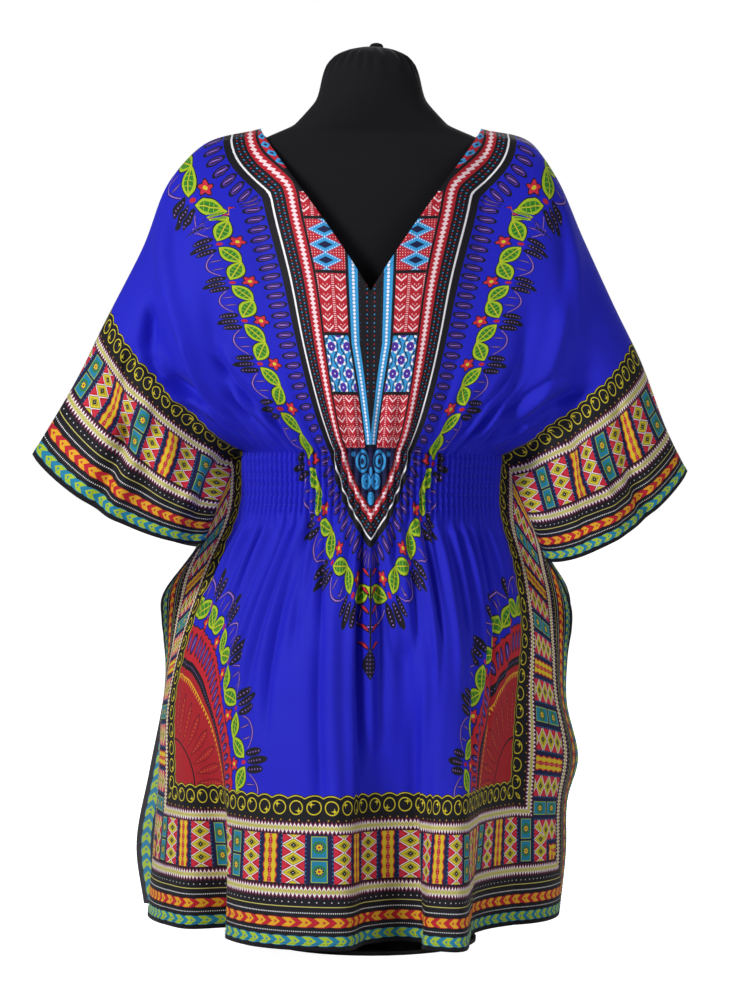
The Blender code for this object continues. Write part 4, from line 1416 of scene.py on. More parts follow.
@dataclass(frozen=True)
class SprayPrint:
    """The band of leaves round the shield and the medallions, and the pendant under the shield's tip."""

    pitch: float = 0.048
    leaf_level: float = 0.06
    leaf_narrowed: float = 0.8
    leaf_at: float = 0.01
    leaf_lean: tuple[float, float] = (0.8, 0.6)
    leaf_half: tuple[float, float] = (0.0128, 0.0078)
    leaf_dyes: tuple[Contour, ...] = (
        Contour(Dye.BLACK, -0.0012),
        Contour(Dye.LIME),
        Contour(Dye.GREEN, 0.0027),
    )
    rib_half: float = 0.0005
    rib_inset: float = 0.0015
    vein_pitch: float = 0.0042
    vein_half: float = 0.0003
    vein_inset: float = 0.003
    flower_level: float = 0.048
    head_level: float = 0.088
    outer_narrowed: float = 0.75
    petals: float = 5.0
    flower: tuple[Petals, ...] = (
        Petals(Dye.BLACK, 0.0066, 0.0014),
        Petals(Dye.CRIMSON, 0.0052, 0.0014),
        Petals(Dye.YELLOW, 0.0018),
    )
    heads: tuple[Spot, ...] = (
        Spot(Dye.BLACK, 0.0068, -0.001, 0.0034, 0.0105),
        Spot(Dye.BLACK, 0.0, 0.003, 0.0032, 0.0125),
    )
    seeds: tuple[Beads, ...] = (Beads(Dye.LILAC, 0.0, 0.0034, 0.0006, 0.0006),)
    seed_columns: float = 0.0068
    seed_half: tuple[float, float] = (0.009, 0.008)
    bud: tuple[Spot, ...] = (Spot(Dye.RED, 0.0, -0.015, 0.0018, 0.003),)
    arch_top: float = 0.0255
    arch_curve: float = 60.0
    arch_half: float = 0.0135
    arch_lines: tuple[Contour, ...] = (Contour(Dye.BLACK, 0.0, 0.0017), Contour(Dye.LILAC, 0.0, 0.0007))
    sepals: tuple[Spot, ...] = (
        Spot(Dye.BLACK, 0.005, 0.015, 0.0011, 0.006),
        Spot(Dye.LILAC, 0.005, 0.015, 0.0004, 0.005),
    )
    low_from: float = 0.5
    low_outside: float = 0.12
    round_edge: float = 0.042
    lobe_pitch: float = 0.0112
    lobe_out: float = 0.0022
    lobe_dyes: tuple[Contour, ...] = (Contour(Dye.BLACK, -0.04), Contour(Dye.RED, -0.0385))
    inner_lines: tuple[Contour, ...] = (Contour(Dye.BRICK, 0.006), Contour(Dye.GOLD, 0.0145, 0.0007))
    round_ground: Contour = Contour(Dye.BLACK, -0.004)
    ground_beads: tuple[Beads, ...] = (Beads(Dye.LILAC, -0.001, 0.0052, 0.0007, 0.0007),)
    gold_beads: tuple[Beads, ...] = (Beads(Dye.GOLD, -0.0172, 0.0078, 0.0026, 0.0016),)
    fan_pitch: float = 0.033
    fan_level: float = -0.056
    fan_half: tuple[float, float] = (0.027, 0.0095)
    fan_line: float = 0.0007
    fan_inset: float = 0.0045
    fan_beads: tuple[Beads, ...] = (Beads(Dye.GOLD, 0.0, 0.006, 0.0005, 0.0012),)
    round_core: Contour = Contour(Dye.BLACK, 0.088, 0.0012)
    stem_middle: float = 0.555
    stem_half: tuple[float, float] = (0.0014, 0.048)
    sprig_pitch: float = 0.019
    sprig_rise: float = 0.8
    sprig_end: float = 0.04
    sprigs: tuple[Spot, ...] = (
        Spot(Dye.BLACK, 0.0095, 0.0, 0.008, 0.0034),
        Spot(Dye.CRIMSON, 0.0095, 0.0, 0.006, 0.0018),
    )
    drop_middle: float = 0.608
    drop_half: tuple[float, float] = (0.017, 0.009)
    drop_inset: float = 0.002
    drop_pitch: float = 0.0042
    drop_beads: tuple[Beads, ...] = (Beads(Dye.LILAC, 0.0, 0.0046, 0.0006, 0.0006),)
    drop_beads_half: float = 0.015

    def leaves(self, ink: Print, s: Place, d: Place) -> None:
        """Pairs of leaves with flowers and buds between them, clear of each other.

        Args:
            ink: the print.
            s: distance along the white line or round a medallion.
            d: distance outside it.
        """
        x = s.centred(self.pitch)
        y = (d - self.leaf_level) * self.leaf_narrowed
        across, (straight, aside) = x.size() - self.leaf_at, self.leaf_lean
        lean_x = across * straight + y * aside
        lean_y = y * straight - across * aside
        leaf = Shape.leaf(lean_x, lean_y, *self.leaf_half)
        ink.contours(leaf, self.leaf_dyes)
        ink.lay(Dye.YELLOW, lean_y.size() - self.rib_half, ink.cover(leaf + self.rib_inset))
        veins = lean_x.centred(self.vein_pitch).size() - self.vein_half
        ink.lay(Dye.LIME, veins, ink.cover(leaf + self.vein_inset))
        flower_x = s.centred(self.pitch, self.pitch / 2)
        flower_y = (d - self.flower_level) * self.outer_narrowed
        ink.rosette(flower_x, flower_y, self.petals, self.flower)
        self.twigs(ink, flower_x, d, x, y)

    def twigs(self, ink: Print, flower_x: Place, d: Place, x: Place, y: Place) -> None:
        """Dark seed heads outside the flowers, and lilac arches between them.

        Args:
            ink: the print.
            flower_x: distance along from the nearest flower.
            d: distance outside the white line.
            x: distance along from the nearest pair of leaves.
            y: distance outside the leaves.
        """
        head_x, head_y = flower_x.size(), (d - self.head_level) * self.outer_narrowed
        ink.spots(head_x, head_y, self.heads)
        half_x, half_y = self.seed_half
        ink.beads(flower_x.centred(self.seed_columns), head_y, self.seeds, ink.cover(head_y.size() - half_y),
                  ink.cover(head_x - half_x))
        ink.spots(head_x, head_y, self.bud)
        arch = y + x * x * self.arch_curve - self.arch_top
        ink.contours(arch, self.arch_lines, ink.cover(x.size() - self.arch_half))
        ink.spots(x.size(), y, self.sepals)

    def medallion(self, ink: Print, low: Place, s: Place, d: Place) -> None:
        """The quarter rounds over the hem's corners.

        Args:
            ink: the print.
            low: 1 near the hem's corners and 0 elsewhere.
            s: distance along the motif line.
            d: distance outside it.
        """
        here = low * ink.cover(d - self.round_edge)
        lobe = s.wave(2.0 * self.lobe_pitch).size() * self.lobe_out
        ink.contours(d - lobe, self.lobe_dyes, low)
        ink.contours(d, (self.round_ground,), here)
        ink.beads(d, s, self.ground_beads, here)
        ink.contours(d, self.inner_lines, here)
        ink.beads(d, s, self.gold_beads, here)
        fan, out = s.centred(self.fan_pitch), d - self.fan_level
        petal = Shape.leaf(out, fan, *self.fan_half)
        held = here * ink.cover(out.size() - self.fan_half[0])
        ink.lay(Dye.BLACK, petal.size() - self.fan_line, held)
        ink.beads(fan, out, self.fan_beads, held * ink.cover(petal + self.fan_inset))
        ink.contours(d, (self.round_core,), here)

    def pendant(self, ink: Print, u: Place, v: Place, front: Place) -> None:
        """The pendant under the tip: a stem with small leaves and a bud."""
        x, down, (half_x, half_y) = u.size(), v - self.stem_middle, self.stem_half
        stem = front * ink.cover(down.size() - half_y)
        ink.lay(Dye.BLACK, x - half_x, stem)
        lean = down.centred(self.sprig_pitch) + x * self.sprig_rise
        ink.spots(x, lean, self.sprigs, stem * ink.cover(down - self.sprig_end))
        below = v - self.drop_middle
        bud = Shape.leaf(below, u, *self.drop_half)
        ink.lay(Dye.BLACK, bud, front * ink.cover(below.size() - self.drop_half[0]))
        ink.beads(u.centred(self.drop_pitch), v, self.drop_beads, front * ink.cover(bud + self.drop_inset),
                  ink.cover(below.size() - self.drop_beads_half))

    def draw(self, ink: Print, u: Place, v: Place, s: Place, d: Place) -> None:
        """Lay the leaves, then the medallions over them."""
        self.leaves(ink, s, d)
        self.medallion(ink, v.above(self.low_from) * u.size().above(self.low_outside), s, d)


def camera_rays(tree: bpy.types.NodeTree) -> Place:
    """1 where the camera looks straight at something, and 0 for light on its way."""
    return Place(tree, tree.nodes.new("ShaderNodeLightPath").outputs["Is Camera Ray"])


class Relief(NamedTuple):
    """How strongly fine height shows, and how deep it is."""

    strength: float
    depth: float


class Coat:
    """A material on the Principled shader, with the steps that every finish shares."""

    def __init__(self, name: str, inputs: dict[str, Union[float, tuple]]) -> None:
        """Start a material with the shader's plain inputs set."""
        self.material = bpy.data.materials.new(name)
        self.material.use_nodes = True
        self.tree = self.material.node_tree
        self.shader = self.tree.nodes["Principled BSDF"]
        for key, value in inputs.items():
            self.shader.inputs[key].default_value = value

    def noise(self, where: bpy.types.NodeSocket, scale: float, detail: float) -> Place:
        """Noise from 0 to 1."""
        node = wired(self.tree, "ShaderNodeTexNoise", {"Vector": where, "Scale": scale, "Detail": detail})
        return Place(self.tree, node.outputs[0])

    def finish(self, colour: Union[bpy.types.NodeSocket, tuple], shade: Place, rough: Place, height: Place,
               relief: Relief) -> bpy.types.Material:
        """Join the colour, the roughness and the height to the shader.

        Args:
            colour: the colour before it is shaded.
            shade: how light it is at each place.
            rough: how rough it is.
            height: how high it is, as a share of the relief's depth.
            relief: how strongly the height shows.

        Returns:
            The material.
        """
        toned = wired(self.tree, "ShaderNodeVectorMath", {0: colour, "Scale": shade}, operation="SCALE")
        bump = wired(self.tree, "ShaderNodeBump",
                     {"Strength": relief.strength, "Distance": relief.depth, "Height": height})
        joined = {"Base Color": toned.outputs[0], "Roughness": rough.socket, "Normal": bump.outputs[0]}
        for key, socket in joined.items():
            self.tree.links.new(socket, self.shader.inputs[key])
        return self.material


@dataclass(frozen=True)
class PrintedCotton:
    """The printed cotton, with its face and its paler wrong side."""

    weave: float = 0.00062
    weave_height: float = 0.35
    slub_height: float = 0.5
    relief: Relief = Relief(0.35, 0.00025)
    roughness: Varied = Varied(0.64, 0.16)
    sheen: float = 0.02
    sheen_roughness: float = 0.45
    specular: float = 0.28
    reverse_share: float = 0.08
    cloudy: tuple[float, float] = (9.0, 3.0)
    cloudy_shade: Varied = Varied(0.85, 0.3)
    slub: tuple[float, float] = (420.0, 2.0)
    slub_shade: Varied = Varied(0.88, 0.24)

    def print_group(self) -> bpy.types.NodeTree:
        """The whole print as a node group of the cut and motif places."""
        tree = bpy.data.node_groups.new("dashiki_print", "ShaderNodeTree")
        tree.interface.new_socket("Front", in_out="INPUT", socket_type="NodeSocketFloat")
        tree.interface.new_socket("Color", in_out="OUTPUT", socket_type="NodeSocketColor")
        front = Place(tree, tree.nodes.new("NodeGroupInput").outputs[0])
        u, v = self.places(tree, "Cut")
        s, d = self.places(tree, "Motif")
        ink, spray = Print(tree, Dye.ROYAL_BLUE), SprayPrint()
        spray.draw(ink, u, v, s, d)
        NeckPrint().draw(ink, u, v, s, d, front)
        spray.pendant(ink, u, v, front)
        BorderPrint().draw(ink, u, v)
        tree.links.new(ink.top, tree.nodes.new("NodeGroupOutput").inputs[0])
        return tree

    def places(self, tree: bpy.types.NodeTree, name: str) -> tuple[Place, Place]:
        """Both numbers of a UV map."""
        uv = wired(tree, "ShaderNodeUVMap", {}, uv_map=name)
        parts = wired(tree, "ShaderNodeSeparateXYZ", {0: uv.outputs[0]})
        return Place(tree, parts.outputs[0]), Place(tree, parts.outputs[1])

    def material(self, name: str, group: bpy.types.NodeTree, front: bool,
                 reverse: bool) -> bpy.types.Material:
        """One side of the cotton.

        Args:
            name: the material's name.
            group: the print.
            front: whether it is on the front panel.
            reverse: whether it is the wrong side.

        Returns:
            The material.
        """
        coat = Coat(name, {"Sheen Weight": self.sheen, "Sheen Roughness": self.sheen_roughness,
                           "Specular IOR Level": self.specular})
        tree = coat.tree
        printed = tree.nodes.new("ShaderNodeGroup")
        printed.node_tree = group
        printed.inputs[0].default_value = float(front)
        colour = printed.outputs[0]
        if reverse:
            colour = mixed(tree, self.reverse_share, colour, Dye.REVERSE.linear())
        u, v = self.places(tree, "Cut")
        where = wired(tree, "ShaderNodeCombineXYZ", {0: u, 1: v}).outputs[0]
        slub = coat.noise(where, *self.slub)
        shade = self.cloudy_shade.over(coat.noise(where, *self.cloudy)) * self.slub_shade.over(slub)
        threads = u.wave(self.weave) * v.wave(self.weave)
        height = threads * self.weave_height + slub * self.slub_height
        return coat.finish(colour, shade, self.roughness.over(slub), height, self.relief)


@dataclass(frozen=True)
class PlainFinish:
    """A finish of one colour with fine noise in its tone, roughness and height."""

    name: str
    colour: tuple[float, float, float]
    roughness: float
    metallic: float = 0.0
    sheen: float = 0.0
    specular: float = 0.5
    grain: float = 900.0
    grain_detail: float = 3.0
    grain_height: float = 0.0002
    grain_strength: float = 0.4
    patches: tuple[float, float] = (14.0, 4.0)
    patch_roughness: float = 0.16
    knit: float = 0.0
    knit_height: float = 0.4
    tone: float = 0.35
    glow: float = 0.0

    def material(self) -> bpy.types.Material:
        """The finish as a material."""
        coat = Coat(self.name, {"Metallic": self.metallic, "Sheen Weight": self.sheen,
                                "Specular IOR Level": self.specular, "Emission Color": (*self.colour, 1.0)})
        if self.glow:
            seen = camera_rays(coat.tree) * self.glow
            coat.tree.links.new(seen.socket, coat.shader.inputs["Emission Strength"])
        where = coat.tree.nodes.new("ShaderNodeTexCoord").outputs["Object"]
        fine, broad = coat.noise(where, self.grain, self.grain_detail), coat.noise(where, *self.patches)
        shade = broad.scaled(2.0 * self.tone, 1.0 - self.tone) * fine.scaled(self.tone, 1.0 - self.tone / 2)
        rough = broad.scaled(self.patch_roughness, self.roughness - self.patch_roughness / 2)
        height = fine
        if self.knit:
            x, _, z = wired(coat.tree, "ShaderNodeSeparateXYZ", {0: where}).outputs
            wales = Place(coat.tree, x).wave(self.knit) * Place(coat.tree, z).wave(self.knit)
            height = height + wales * self.knit_height
        return coat.finish(self.colour, shade, rough, height, Relief(self.grain_strength, self.grain_height))


def new_object(name: str, points: np.ndarray, faces: list, materials: list,
               smooth: bool = True) -> bpy.types.Object:
    """A mesh object at the origin.

    Args:
        name: the piece's name.
        points: its corners.
        faces: its faces.
        materials: its materials.
        smooth: whether its faces shade smoothly.

    Returns:
        The object.
    """
    mesh = bpy.data.meshes.new(name)
    mesh.from_pydata(np.asarray(points, float).tolist(), [], faces)
    mesh.validate()
    for material in materials:
        mesh.materials.append(material)
    mesh.polygons.foreach_set("use_smooth", [smooth] * len(mesh.polygons))
    made = bpy.data.objects.new(name, mesh)
    bpy.context.scene.collection.objects.link(made)
    return made


@dataclass
class ClothPanel:
    """The front or the back of the shirt as a fine shell."""

    name: str
    node: str
    drape: Drape
    motif: MotifPath
    cloth: float = 0.0009
    hem_turn: float = 0.009
    hem_extra: float = 0.0005
    hem_step: float = 0.0004
    hem_clear: float = 0.002
    hem_edge: float = 0.0005
    neck_turn: Ramp = Ramp(0.006, 0.0085)
    seam_gap: float = 0.0004
    below_waist: float = 0.003
    probe: float = 0.001
    body_steps: int = 170
    flap_steps: int = 28
    bodice_rows: int = 42
    waist_rows: int = 25
    skirt_rows: int = 48

    def columns(self) -> np.ndarray:
        """The flat places of the mesh columns."""
        body = np.linspace(0.0, HALF_BODY, self.body_steps + 1)
        flap = np.linspace(HALF_BODY, HALF_PANEL, self.flap_steps + 1)[1:-1]
        edge = HALF_PANEL - np.array([self.hem_turn + self.hem_step, self.hem_turn - self.hem_step, 0.0])
        half = np.concatenate([body, flap[flap < edge[0] - self.hem_clear], edge])
        return np.concatenate([-half[:0:-1], half])

    def falls(self) -> list[Fall]:
        """The law of each mesh row: v at a distance from the centre."""
        made = []
        for share in np.linspace(0.0, 1.0, self.bodice_rows + 1)[:-1]:
            made.append(lambda u, q=float(share): self.drape.blend(u, q))
        levels = list(np.linspace(SHIRR_TOP, SHIRR_BOTTOM + self.below_waist, self.waist_rows))
        turn = PANEL_LENGTH - self.hem_turn
        levels += list(np.linspace(levels[-1], turn - self.hem_step, self.skirt_rows)[1:])
        levels += [turn + self.hem_step, PANEL_LENGTH]
        return made + [level_at(float(level)) for level in levels]

    def sheet(self) -> tuple[np.ndarray, np.ndarray, np.ndarray]:
        """Points, normals and flat places of the middle sheet, as grids."""
        columns = self.columns()
        points, flats = [], []
        for fall in self.falls():
            points.append(self.drape.row(columns, fall))
            flats.append(np.stack([columns, fall(columns)], axis=1))
        points, flats = np.array(points), np.array(flats)
        across = np.gradient(points, axis=1)
        down = np.gradient(points, axis=0)
        normals = unit(np.cross(down, across)) * -self.drape.sign
        outside = np.abs(columns) >= NECK_HALF - HAIR
        reach = self.cloth / 2 * np.abs(normals[0, :, 1]) + self.seam_gap / 2
        points[0, :, 1] += np.where(outside, self.drape.sign * reach, 0.0)
        return points, normals, flats

    def thickness(self, flats: np.ndarray) -> np.ndarray:
        """Half the wall at flat places, thicker where the hem is turned."""
        edge = np.minimum(HALF_PANEL - np.abs(flats[..., 0]), PANEL_LENGTH - flats[..., 1])
        turned = 1.0 - rise(self.hem_turn - self.hem_edge, self.hem_turn + self.hem_edge, edge)
        from_neck = flats[..., 1] - self.drape.top_of_cut(flats[..., 0])
        neck = (1.0 - rise(*self.neck_turn, from_neck)) * (np.abs(flats[..., 0]) < NECK_HALF)
        return self.cloth / 2 + self.hem_extra * np.maximum(turned, neck)

    def build(self, materials: list[bpy.types.Material]) -> bpy.types.Object:
        """The shell with its face, wrong side and rim, and its maps.

        Args:
            materials: the face and the wrong side.

        Returns:
            The object.
        """
        self.grids = self.sheet()
        points, normals, flats = self.grids
        half = self.thickness(flats)[..., None]
        outer = (points + normals * half).reshape(-1, 3)
        inner = (points - normals * half).reshape(-1, 3)
        count = len(outer)
        index = np.arange(count).reshape(points.shape[:2])
        corners = (index[:-1, :-1], index[1:, :-1], index[1:, 1:], index[:-1, 1:])
        quads = np.stack(corners, axis=-1).reshape(-1, 4)
        rim = np.concatenate([index[0, :], index[1:, -1], index[-1, -2::-1], index[-2:0:-1, 0]])
        following = np.roll(rim, -1)
        walls = np.stack([rim, following, following + count, rim + count], axis=-1)
        if not self.drape.front:
            quads, walls = quads[:, ::-1], walls[:, ::-1]
        faces = np.concatenate([quads, quads[:, ::-1] + count, walls])
        made = new_object(self.name, np.concatenate([outer, inner]), faces.tolist(), materials)
        sides = np.zeros(len(faces), dtype=np.int32)
        sides[len(quads):2 * len(quads)] = 1
        made.data.polygons.foreach_set("material_index", sides)
        self.map(made, flats.reshape(-1, 2))
        self.report_size(points)
        return made

    def map(self, made: bpy.types.Object, flats: np.ndarray) -> None:
        """Give the shell its cut and motif maps."""
        corners = np.zeros(len(made.data.loops), dtype=np.int32)
        made.data.loops.foreach_get("vertex_index", corners)
        corners %= len(flats)
        motifs = self.motif.places(flats[:, 0], flats[:, 1])
        for name, values in (("Cut", flats), ("Motif", motifs)):
            layer = made.data.uv_layers.new(name=name)
            layer.data.foreach_set("uv", values[corners].astype(np.float32).ravel())

    def report_size(self, points: np.ndarray) -> None:
        """Log the hanging area of the sheet."""
        first = np.cross(points[1:, :-1] - points[:-1, :-1], points[:-1, 1:] - points[:-1, :-1])
        second = np.cross(points[1:, :-1] - points[1:, 1:], points[:-1, 1:] - points[1:, 1:])
        area = 0.5 * (np.linalg.norm(first, axis=-1).sum() + np.linalg.norm(second, axis=-1).sum())
        LOG.info("%s hangs with %.3f square metres of cloth", self.name, area)

    def traced(self, columns: np.ndarray, fall: Fall, lift: float) -> np.ndarray:
        """Points just outside the cloth along a row.

        Args:
            columns: places across the cut.
            fall: gives v at a distance from the centre.
            lift: how far outside the middle of the cloth.

        Returns:
            The points.
        """
        here = self.drape.row(columns, fall)
        below = self.drape.row(columns, lambda q: fall(q) + self.probe)
        across = np.gradient(here, axis=0)
        return here - unit(np.cross(below - here, across)) * (self.drape.sign * lift)

    def down_line(self, u: float, lift: float) -> np.ndarray:
        """Points just outside the cloth down a line at one distance across the cut."""
        points, normals, flats = self.grids
        columns = flats[0, :, 0]
        right = int(np.searchsorted(columns, u))
        share = (u - columns[right - 1]) / (columns[right] - columns[right - 1])
        made = points[:, right - 1] * (1.0 - share) + points[:, right] * share
        return made[2:-2] + normals[2:-2, right - 1] * lift


@dataclass
class Stitching:
    """Rows of thread stitches, laid along lines on the cloth by Geometry Nodes."""

    length: float = 0.0027
    pitch: float = 0.0038
    thickness: float = 0.00042
    seed: int = 7
    shortest: float = 0.85
    longest: float = 1.15

    def tree(self, material: bpy.types.Material) -> bpy.types.NodeTree:
        """The node tree that turns a line into a row of short threads.

        Args:
            material: the thread's.

        Returns:
            The tree.
        """
        made = bpy.data.node_groups.new("thread_stitches", "GeometryNodeTree")
        made.interface.new_socket("Geometry", in_out="INPUT", socket_type="NodeSocketGeometry")
        for name, value in (("Length", self.length), ("Pitch", self.pitch), ("Thickness", self.thickness)):
            socket = made.interface.new_socket(name, in_out="INPUT", socket_type="NodeSocketFloat")
            socket.default_value = value
        seed = made.interface.new_socket("Seed", in_out="INPUT", socket_type="NodeSocketInt")
        seed.default_value = self.seed
        made.interface.new_socket("Geometry", in_out="OUTPUT", socket_type="NodeSocketGeometry")
        given = made.nodes.new("NodeGroupInput").outputs
        line = wired(made, "GeometryNodeMeshToCurve", {"Mesh": given["Geometry"]})
        spaced = wired(made, "GeometryNodeCurveToPoints",
                       {"Curve": line.outputs["Curve"], "Length": given["Pitch"]}, mode="LENGTH")
        thread = wired(made, "GeometryNodeMeshIcoSphere", {"Radius": 0.5, "Subdivisions": 1})
        vary = wired(made, "FunctionNodeRandomValue",
                     {2: self.shortest, 3: self.longest, "Seed": given["Seed"]}, data_type="FLOAT")
        longer = Place(made, given["Length"]) * Place(made, vary.outputs[1])
        thick = given["Thickness"]
        shape = wired(made, "ShaderNodeCombineXYZ", {0: thick, 1: thick, 2: longer})
        placed = wired(made, "GeometryNodeInstanceOnPoints",
                       {"Points": spaced.outputs["Points"], "Rotation": spaced.outputs["Rotation"],
                        "Instance": thread.outputs["Mesh"], "Scale": shape.outputs[0]})
        real = wired(made, "GeometryNodeRealizeInstances", {"Geometry": placed.outputs["Instances"]})
        dressed = wired(made, "GeometryNodeSetMaterial",
                        {"Geometry": real.outputs["Geometry"], "Material": material})
        made.links.new(dressed.outputs["Geometry"], made.nodes.new("NodeGroupOutput").inputs[0])
        return made

    def sew(self, name: str, lines: list[np.ndarray], material: bpy.types.Material,
            sizes: Union[dict[str, float], None] = None) -> bpy.types.Object:
        """Stitches along lines, as one plain mesh.

        Args:
            name: the piece's name.
            lines: points of each line.
            material: the thread.
            sizes: values of the tree's named inputs that differ from its own.

        Returns:
            The object.
        """
        starts = np.concatenate([[0], np.cumsum([len(line) for line in lines])])
        mesh = bpy.data.meshes.new(name + "_lines")
        edges = [(k, k + 1) for a, b in zip(starts, starts[1:]) for k in range(int(a), int(b) - 1)]
        mesh.from_pydata(np.concatenate(lines).tolist(), edges, [])
        carrier = bpy.data.objects.new(name + "_lines", mesh)
        bpy.context.scene.collection.objects.link(carrier)
        tree = self.tree(material)
        modifier = carrier.modifiers.new("stitches", "NODES")
        modifier.node_group = tree
        for item in tree.interface.items_tree:
            if item.in_out == "INPUT" and sizes and item.name in sizes:
                modifier[item.identifier] = sizes[item.name]
        evaluated = carrier.evaluated_get(bpy.context.evaluated_depsgraph_get())
        plain = bpy.data.meshes.new_from_object(evaluated)
        bpy.data.objects.remove(carrier, do_unlink=True)
        bpy.data.meshes.remove(mesh)
        made = bpy.data.objects.new(name, plain)
        plain.name = name
        bpy.context.scene.collection.objects.link(made)
        return made


@dataclass
class Shirt:
    """Both panels with their stitching."""

    cotton: PrintedCotton = field(default_factory=PrintedCotton)
    stitching: Stitching = field(default_factory=Stitching)
    flat: tuple[float, float] = (2 * HALF_PANEL, PANEL_LENGTH)
    front_area: float = 0.9568
    back_area: float = 0.9745
    thread: PlainFinish = PlainFinish("dark_thread", (0.01, 0.01, 0.03), 0.6, sheen=0.3)
    blue_thread: PlainFinish = PlainFinish("blue_thread", (0.02, 0.018, 0.36), 0.6, sheen=0.3)
    hem_lift: float = 0.0011
    hem_in: float = 0.0075
    hem_ends: float = 0.009
    hem_places: int = 700
    neck_in: float = 0.0065
    neck_places: int = 121
    waist_lift: float = 0.0007
    waist_ends: float = 0.004
    waist_places: int = 1200
    waist_pitch: float = 0.0034
    waist_thickness: float = 0.00036

    def build(self) -> list[bpy.types.Object]:
        """Build and dress both panels."""
        group = self.cotton.print_group()
        threads = (self.thread.material(), self.blue_thread.material())
        drapes = (Drape(True, creases=FRONT_DETAIL), Drape(False, creases=BACK_DETAIL))
        front = ClothPanel("front_cloth", "front_panel", drapes[0], MotifPath(FRONT_LINE))
        back = ClothPanel("back_cloth", "back_panel", drapes[1], MotifPath(BACK_LINE))
        made = []
        for panel, area in ((front, self.front_area), (back, self.back_area)):
            face = self.cotton.material(panel.name + "_face", group, panel.drape.front, False)
            wrong = self.cotton.material(panel.name + "_wrong_side", group, panel.drape.front, True)
            cloth = panel.build([face, wrong])
            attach(cloth, "root")
            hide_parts(panel.node)
            made.append(cloth)
            for stitches in self.sewn(panel, *threads):
                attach(stitches, "root")
                made.append(stitches)
        return made

    def sewn(self, panel: ClothPanel, thread: bpy.types.Material,
             blue_thread: bpy.types.Material) -> list[bpy.types.Object]:
        """The stitches of one panel.

        Args:
            panel: the cloth.
            thread: the thread of the hems.
            blue_thread: the thread at the waist.

        Returns:
            The stitch pieces.
        """
        side = "front" if panel.drape.front else "back"
        drape, half_hem, half_waist = panel.drape, HALF_PANEL - self.hem_ends, HALF_BODY - self.waist_ends
        across = np.linspace(-half_hem, half_hem, self.hem_places)
        neck = np.linspace(-NECK_HALF, NECK_HALF, self.neck_places)
        waist = np.linspace(-half_waist, half_waist, self.waist_places)
        hems = [panel.traced(across, level_at(PANEL_LENGTH - self.hem_in), self.hem_lift)]
        hems.append(panel.traced(neck, lambda q: drape.top_of_cut(q) + self.neck_in, self.hem_lift))
        for half in Side:
            hems.append(panel.down_line(half.value * (HALF_PANEL - self.hem_in), self.hem_lift))
        elastics = [panel.traced(waist, level_at(v), self.waist_lift) for v in drape.elastic_rows]
        sizes = {"Pitch": self.waist_pitch, "Thickness": self.waist_thickness}
        return [
            self.stitching.sew("stitches_hem_" + side, hems, thread),
            self.stitching.sew("stitches_waist_" + side, elastics, blue_thread, sizes),
        ]


